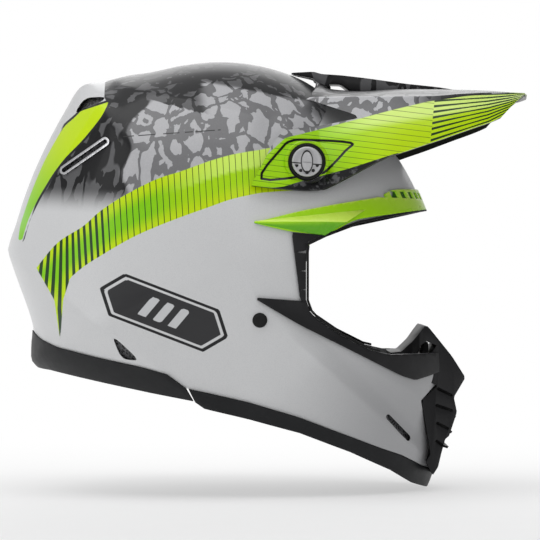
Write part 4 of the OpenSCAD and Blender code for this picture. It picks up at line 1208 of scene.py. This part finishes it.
# Soft pieces. Each starts a little smaller than its space, is blown up as cloth, then gets its seams.
CROWN_PAD = [(-140, -31), (-96, -43), (-52, -37), (-42, -21), (50, -21), (62, 20), (85, 28), (150, 44), (150, 190),
             (-140, 190)]
NAPE_ROLL = [(-140, -50), (-97, -48.5), (-56, -43), (-54, -70), (-96, -80), (-140, -72)]
JAW_PAD = [(-42, -40), (40, -38), (64, -50), (70, -64), (64, -92), (50, -90), (43, -79), (-8, -77), (-32, -72),
           (-46, -56)]


def crown_seams(p):
    """Two seams from front to back, one across the top, and one round above the brow."""
    x, y, z = p.T
    across = np.abs(x + 0.2 * z - 8) + np.where(z < 40, 40, 0)
    return np.min([np.abs(np.abs(y) - 30), across, np.abs(z - 6 - 0.15 * x)], axis=0)


def roll_seams(p):
    return np.abs(np.abs(np.degrees(np.arctan2(p[:, 1], -p[:, 0]))) - 26) * 1.6


def jaw_seams(p):
    """A seam round the pad, and one across it."""
    x, z = p[:, 0], p[:, 2]
    edge = inside(p[:, [0, 2]], grown(eased(JAW_PAD), -11))
    return np.minimum(np.abs(edge), np.abs(x - 4 - 0.3 * (z + 60)) + np.where(edge > 0, 0, 30))


crown = trimmed("crown_pad", cavity_bulk(1.4, side=24), CROWN_PAD, cavity_bulk(7.4, side=24))
inflated(evened(crown, 4.0, 3), 3.0, 1.1)
channels(crown, 1.6, crown_seams)
finish_piece(crown, "helmet", LINER, "liner_fabric", "crown_liner")

roll = trimmed("nape_roll", cavity_bulk(2.2, side=24), NAPE_ROLL, cavity_bulk(13.5, side=24))
inflated(evened(roll, 4.0, 8), 4.0, 1.8)
channels(roll, 1.8, roll_seams)
finish_piece(roll, "helmet", ROLL, "liner_fabric", "neck_roll")

for side, word in SIDES:
    pad = trimmed(f"jaw_pad_{word}", shell_bulk(14.6, 120, 30), grown(eased(JAW_PAD), -1.2),
                  cavity_bulk(0, 67.5, 96, 24))
    cut(pad, rectangle(-300, 300, -300, 300), *sorted((side * 10, side * 300)), keep=True)
    inflated(evened(pad, 4.0, 6), 4.0, 1.4)
    channels(pad, 1.6, jaw_seams)
    finish_piece(pad, "helmet", LINER, "liner_fabric", f"cheek_pad_{word}")

# Chin strap
ROUTE_RIGHT = [(-117.4, -34), (-117, -50), (-114.6, -64), (-109, -78), (-100.6, -90), (-86, -98.5), (-66, -102.2),
               (-40, -102.5), (0, -102.5), (40, -102.5), (48, -103.4), (51, -106.4), (48, -110), (40, -111),
               (24, -111), (6, -111)]
ROUTE_LEFT = [(117.4, -34), (117, -50), (114.6, -64), (109, -78), (100.6, -90), (88, -99.5), (75, -103.3), (62, -104),
              (58.6, -105.2), (58.6, -107.9), (61, -109.1), (66, -109.1), (69, -107.4), (69.4, -105.6)]
for word, route in (("right", ROUTE_RIGHT), ("left", ROUTE_LEFT)):
    band = tape(f"strap_{word}", route, 24, 1.5, STRAP_PIVOT[0])
    finish_piece(band, "strap", WEBBING, "webbing", f"chin_strap_{word}")
sleeve = tape("strap_pad", [(-83, -99.6), (-76, -101), (-66, -102.2), (-40, -102.5), (-5, -102.5)], 27.6, 4.6,
              STRAP_PIVOT[0])
evened(sleeve, 2.4, 3)
channels(sleeve, 0.5, lambda p: np.abs(np.abs(p[:, 0] - STRAP_PIVOT[0]) - 11), 1.2)
finish_piece(smooth(sleeve, 80), "strap", ROLL, "liner_fabric", "strap_sleeve")
for side, word in SIDES:
    route = [(side * 86.4, -88.4), (side * 86.6, -94), (side * 86.9, -101.5)]
    finish_piece(tape(f"pull_tab_{word}", route, 9, 1.4, 56.5), "helmet", TAB, "tab_fabric", "pad_pull_tabs")

# Small pieces keep the CAD shape
CAD_SHAPES = {
    STEEL: "strap_snap liner_snaps strap_anchor_plates d_ring_outer d_ring_inner peak_insert_nuts peak_screw_top",
    PLASTIC: "strap_keeper mouth_screen mouth_shutter mouth_louvers cheek_pad_plates",
    SCREEN: "brow_screen",
    TRIM: "breath_guard_screen",
}
for material, nodes in CAD_SHAPES.items():
    for node in nodes.split():
        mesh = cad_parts[node].data
        mesh.materials.clear()
        mesh.materials.append(material)

# ---------------------------------------------------------------- floor, light and camera


def grid_plane(name, size, z):
    n = 12
    xs = np.linspace(-size, size, n + 1)
    points = [(x, y, z) for y in xs for x in xs]
    corners = [j * (n + 1) + i for j in range(n) for i in range(n)]
    return make(name, points, [(c, c + 1, c + n + 2, c + n + 1) for c in corners])


# The floor glows on its far side, which is the picture's white ground
FLOOR_Z = -166.5  # just under the chin bar
floor = grid_plane("floor", 8000, FLOOR_Z)
pale = Nodes("pale_floor")
pale.set(Base_Color=pale.mix(pale.noise(pale.place(), 30, 2), (0.88, 0.88, 0.88), (0.90, 0.90, 0.90)),
         Roughness=0.8, Specular_IOR_Level=0.1)
glow = pale.new("ShaderNodeEmission", {"Color": (1.0, 1.0, 1.0)}).outputs[0]
far = pale.math("MULTIPLY_ADD", pale.step(pale.parts(pale.place())["Y"], -0.5, 0.6), 0.8, 0.2)
both = pale.new("ShaderNodeMixShader", {0: far, 1: pale.shader.outputs[0], 2: glow}).outputs[0]
pale.feed(pale.tree.nodes["Material Output"].inputs["Surface"], both)
floor.data.materials.append(pale.material)


def area_light(name, place, size, power):
    data = bpy.data.lights.new(name, "AREA")
    data.shape, data.size, data.size_y, data.energy = "RECTANGLE", size[0], size[1], power
    obj = link(name, data)
    obj.location = place
    obj.rotation_euler = (-Vector(place)).to_track_quat("-Z", "Y").to_euler()


area_light("top_light", (-0.1, -0.3, 1.6), (2.0, 1.2), 15)
area_light("side_light", (0.7, -2.2, 0.9), (1.0, 1.2), 4)
area_light("rear_light", (-1.5, -0.9, 0.6), (0.7, 1.4), 4)
area_light("far_light", (0.3, 1.7, 1.0), (1.4, 1.2), 8)

# A pale studio: bright round the horizon, softer overhead and dim below
sky = Nodes("studio", "worlds", "Background")
up = sky.parts(sky.new("ShaderNodeTexCoord").outputs["Generated"])
level = sky.new("ShaderNodeMapRange", {"Value": up["Z"], "From Min": -1.0}).outputs["Result"]
grade = sky.new("ShaderNodeValToRGB", {"Fac": level})
grade.color_ramp.elements[0].color = (0.16, 0.16, 0.16, 1)
grade.color_ramp.elements[1].color = (0.55, 0.55, 0.56, 1)
for at, value in ((0.42, 0.2), (0.485, 1.0), (0.555, 1.0), (0.62, 0.42)):
    grade.color_ramp.elements.new(at).color = (value, value, value, 1)
ends = {"Value": up["X"], "From Min": 0.12, "From Max": 0.9, "To Min": 1.0, "To Max": 0.25}
sky.set(Color=grade.outputs["Color"], Strength=sky.new("ShaderNodeMapRange", ends).outputs["Result"])
bpy.context.scene.world = sky.material
bpy.context.scene.view_settings.view_transform = "Standard"

lens = bpy.data.cameras.new("camera")
lens.sensor_width = 36.0
lens.lens = lens.sensor_width * CAMERA_FAR / PICTURE_WIDTH
lens.clip_end = 50
camera = link("camera", lens)
camera.location = (CAMERA_X * MM, -CAMERA_FAR * MM, CAMERA_Z * MM)
camera.rotation_euler = (math.radians(90), 0, 0)
bpy.context.scene.camera = camera
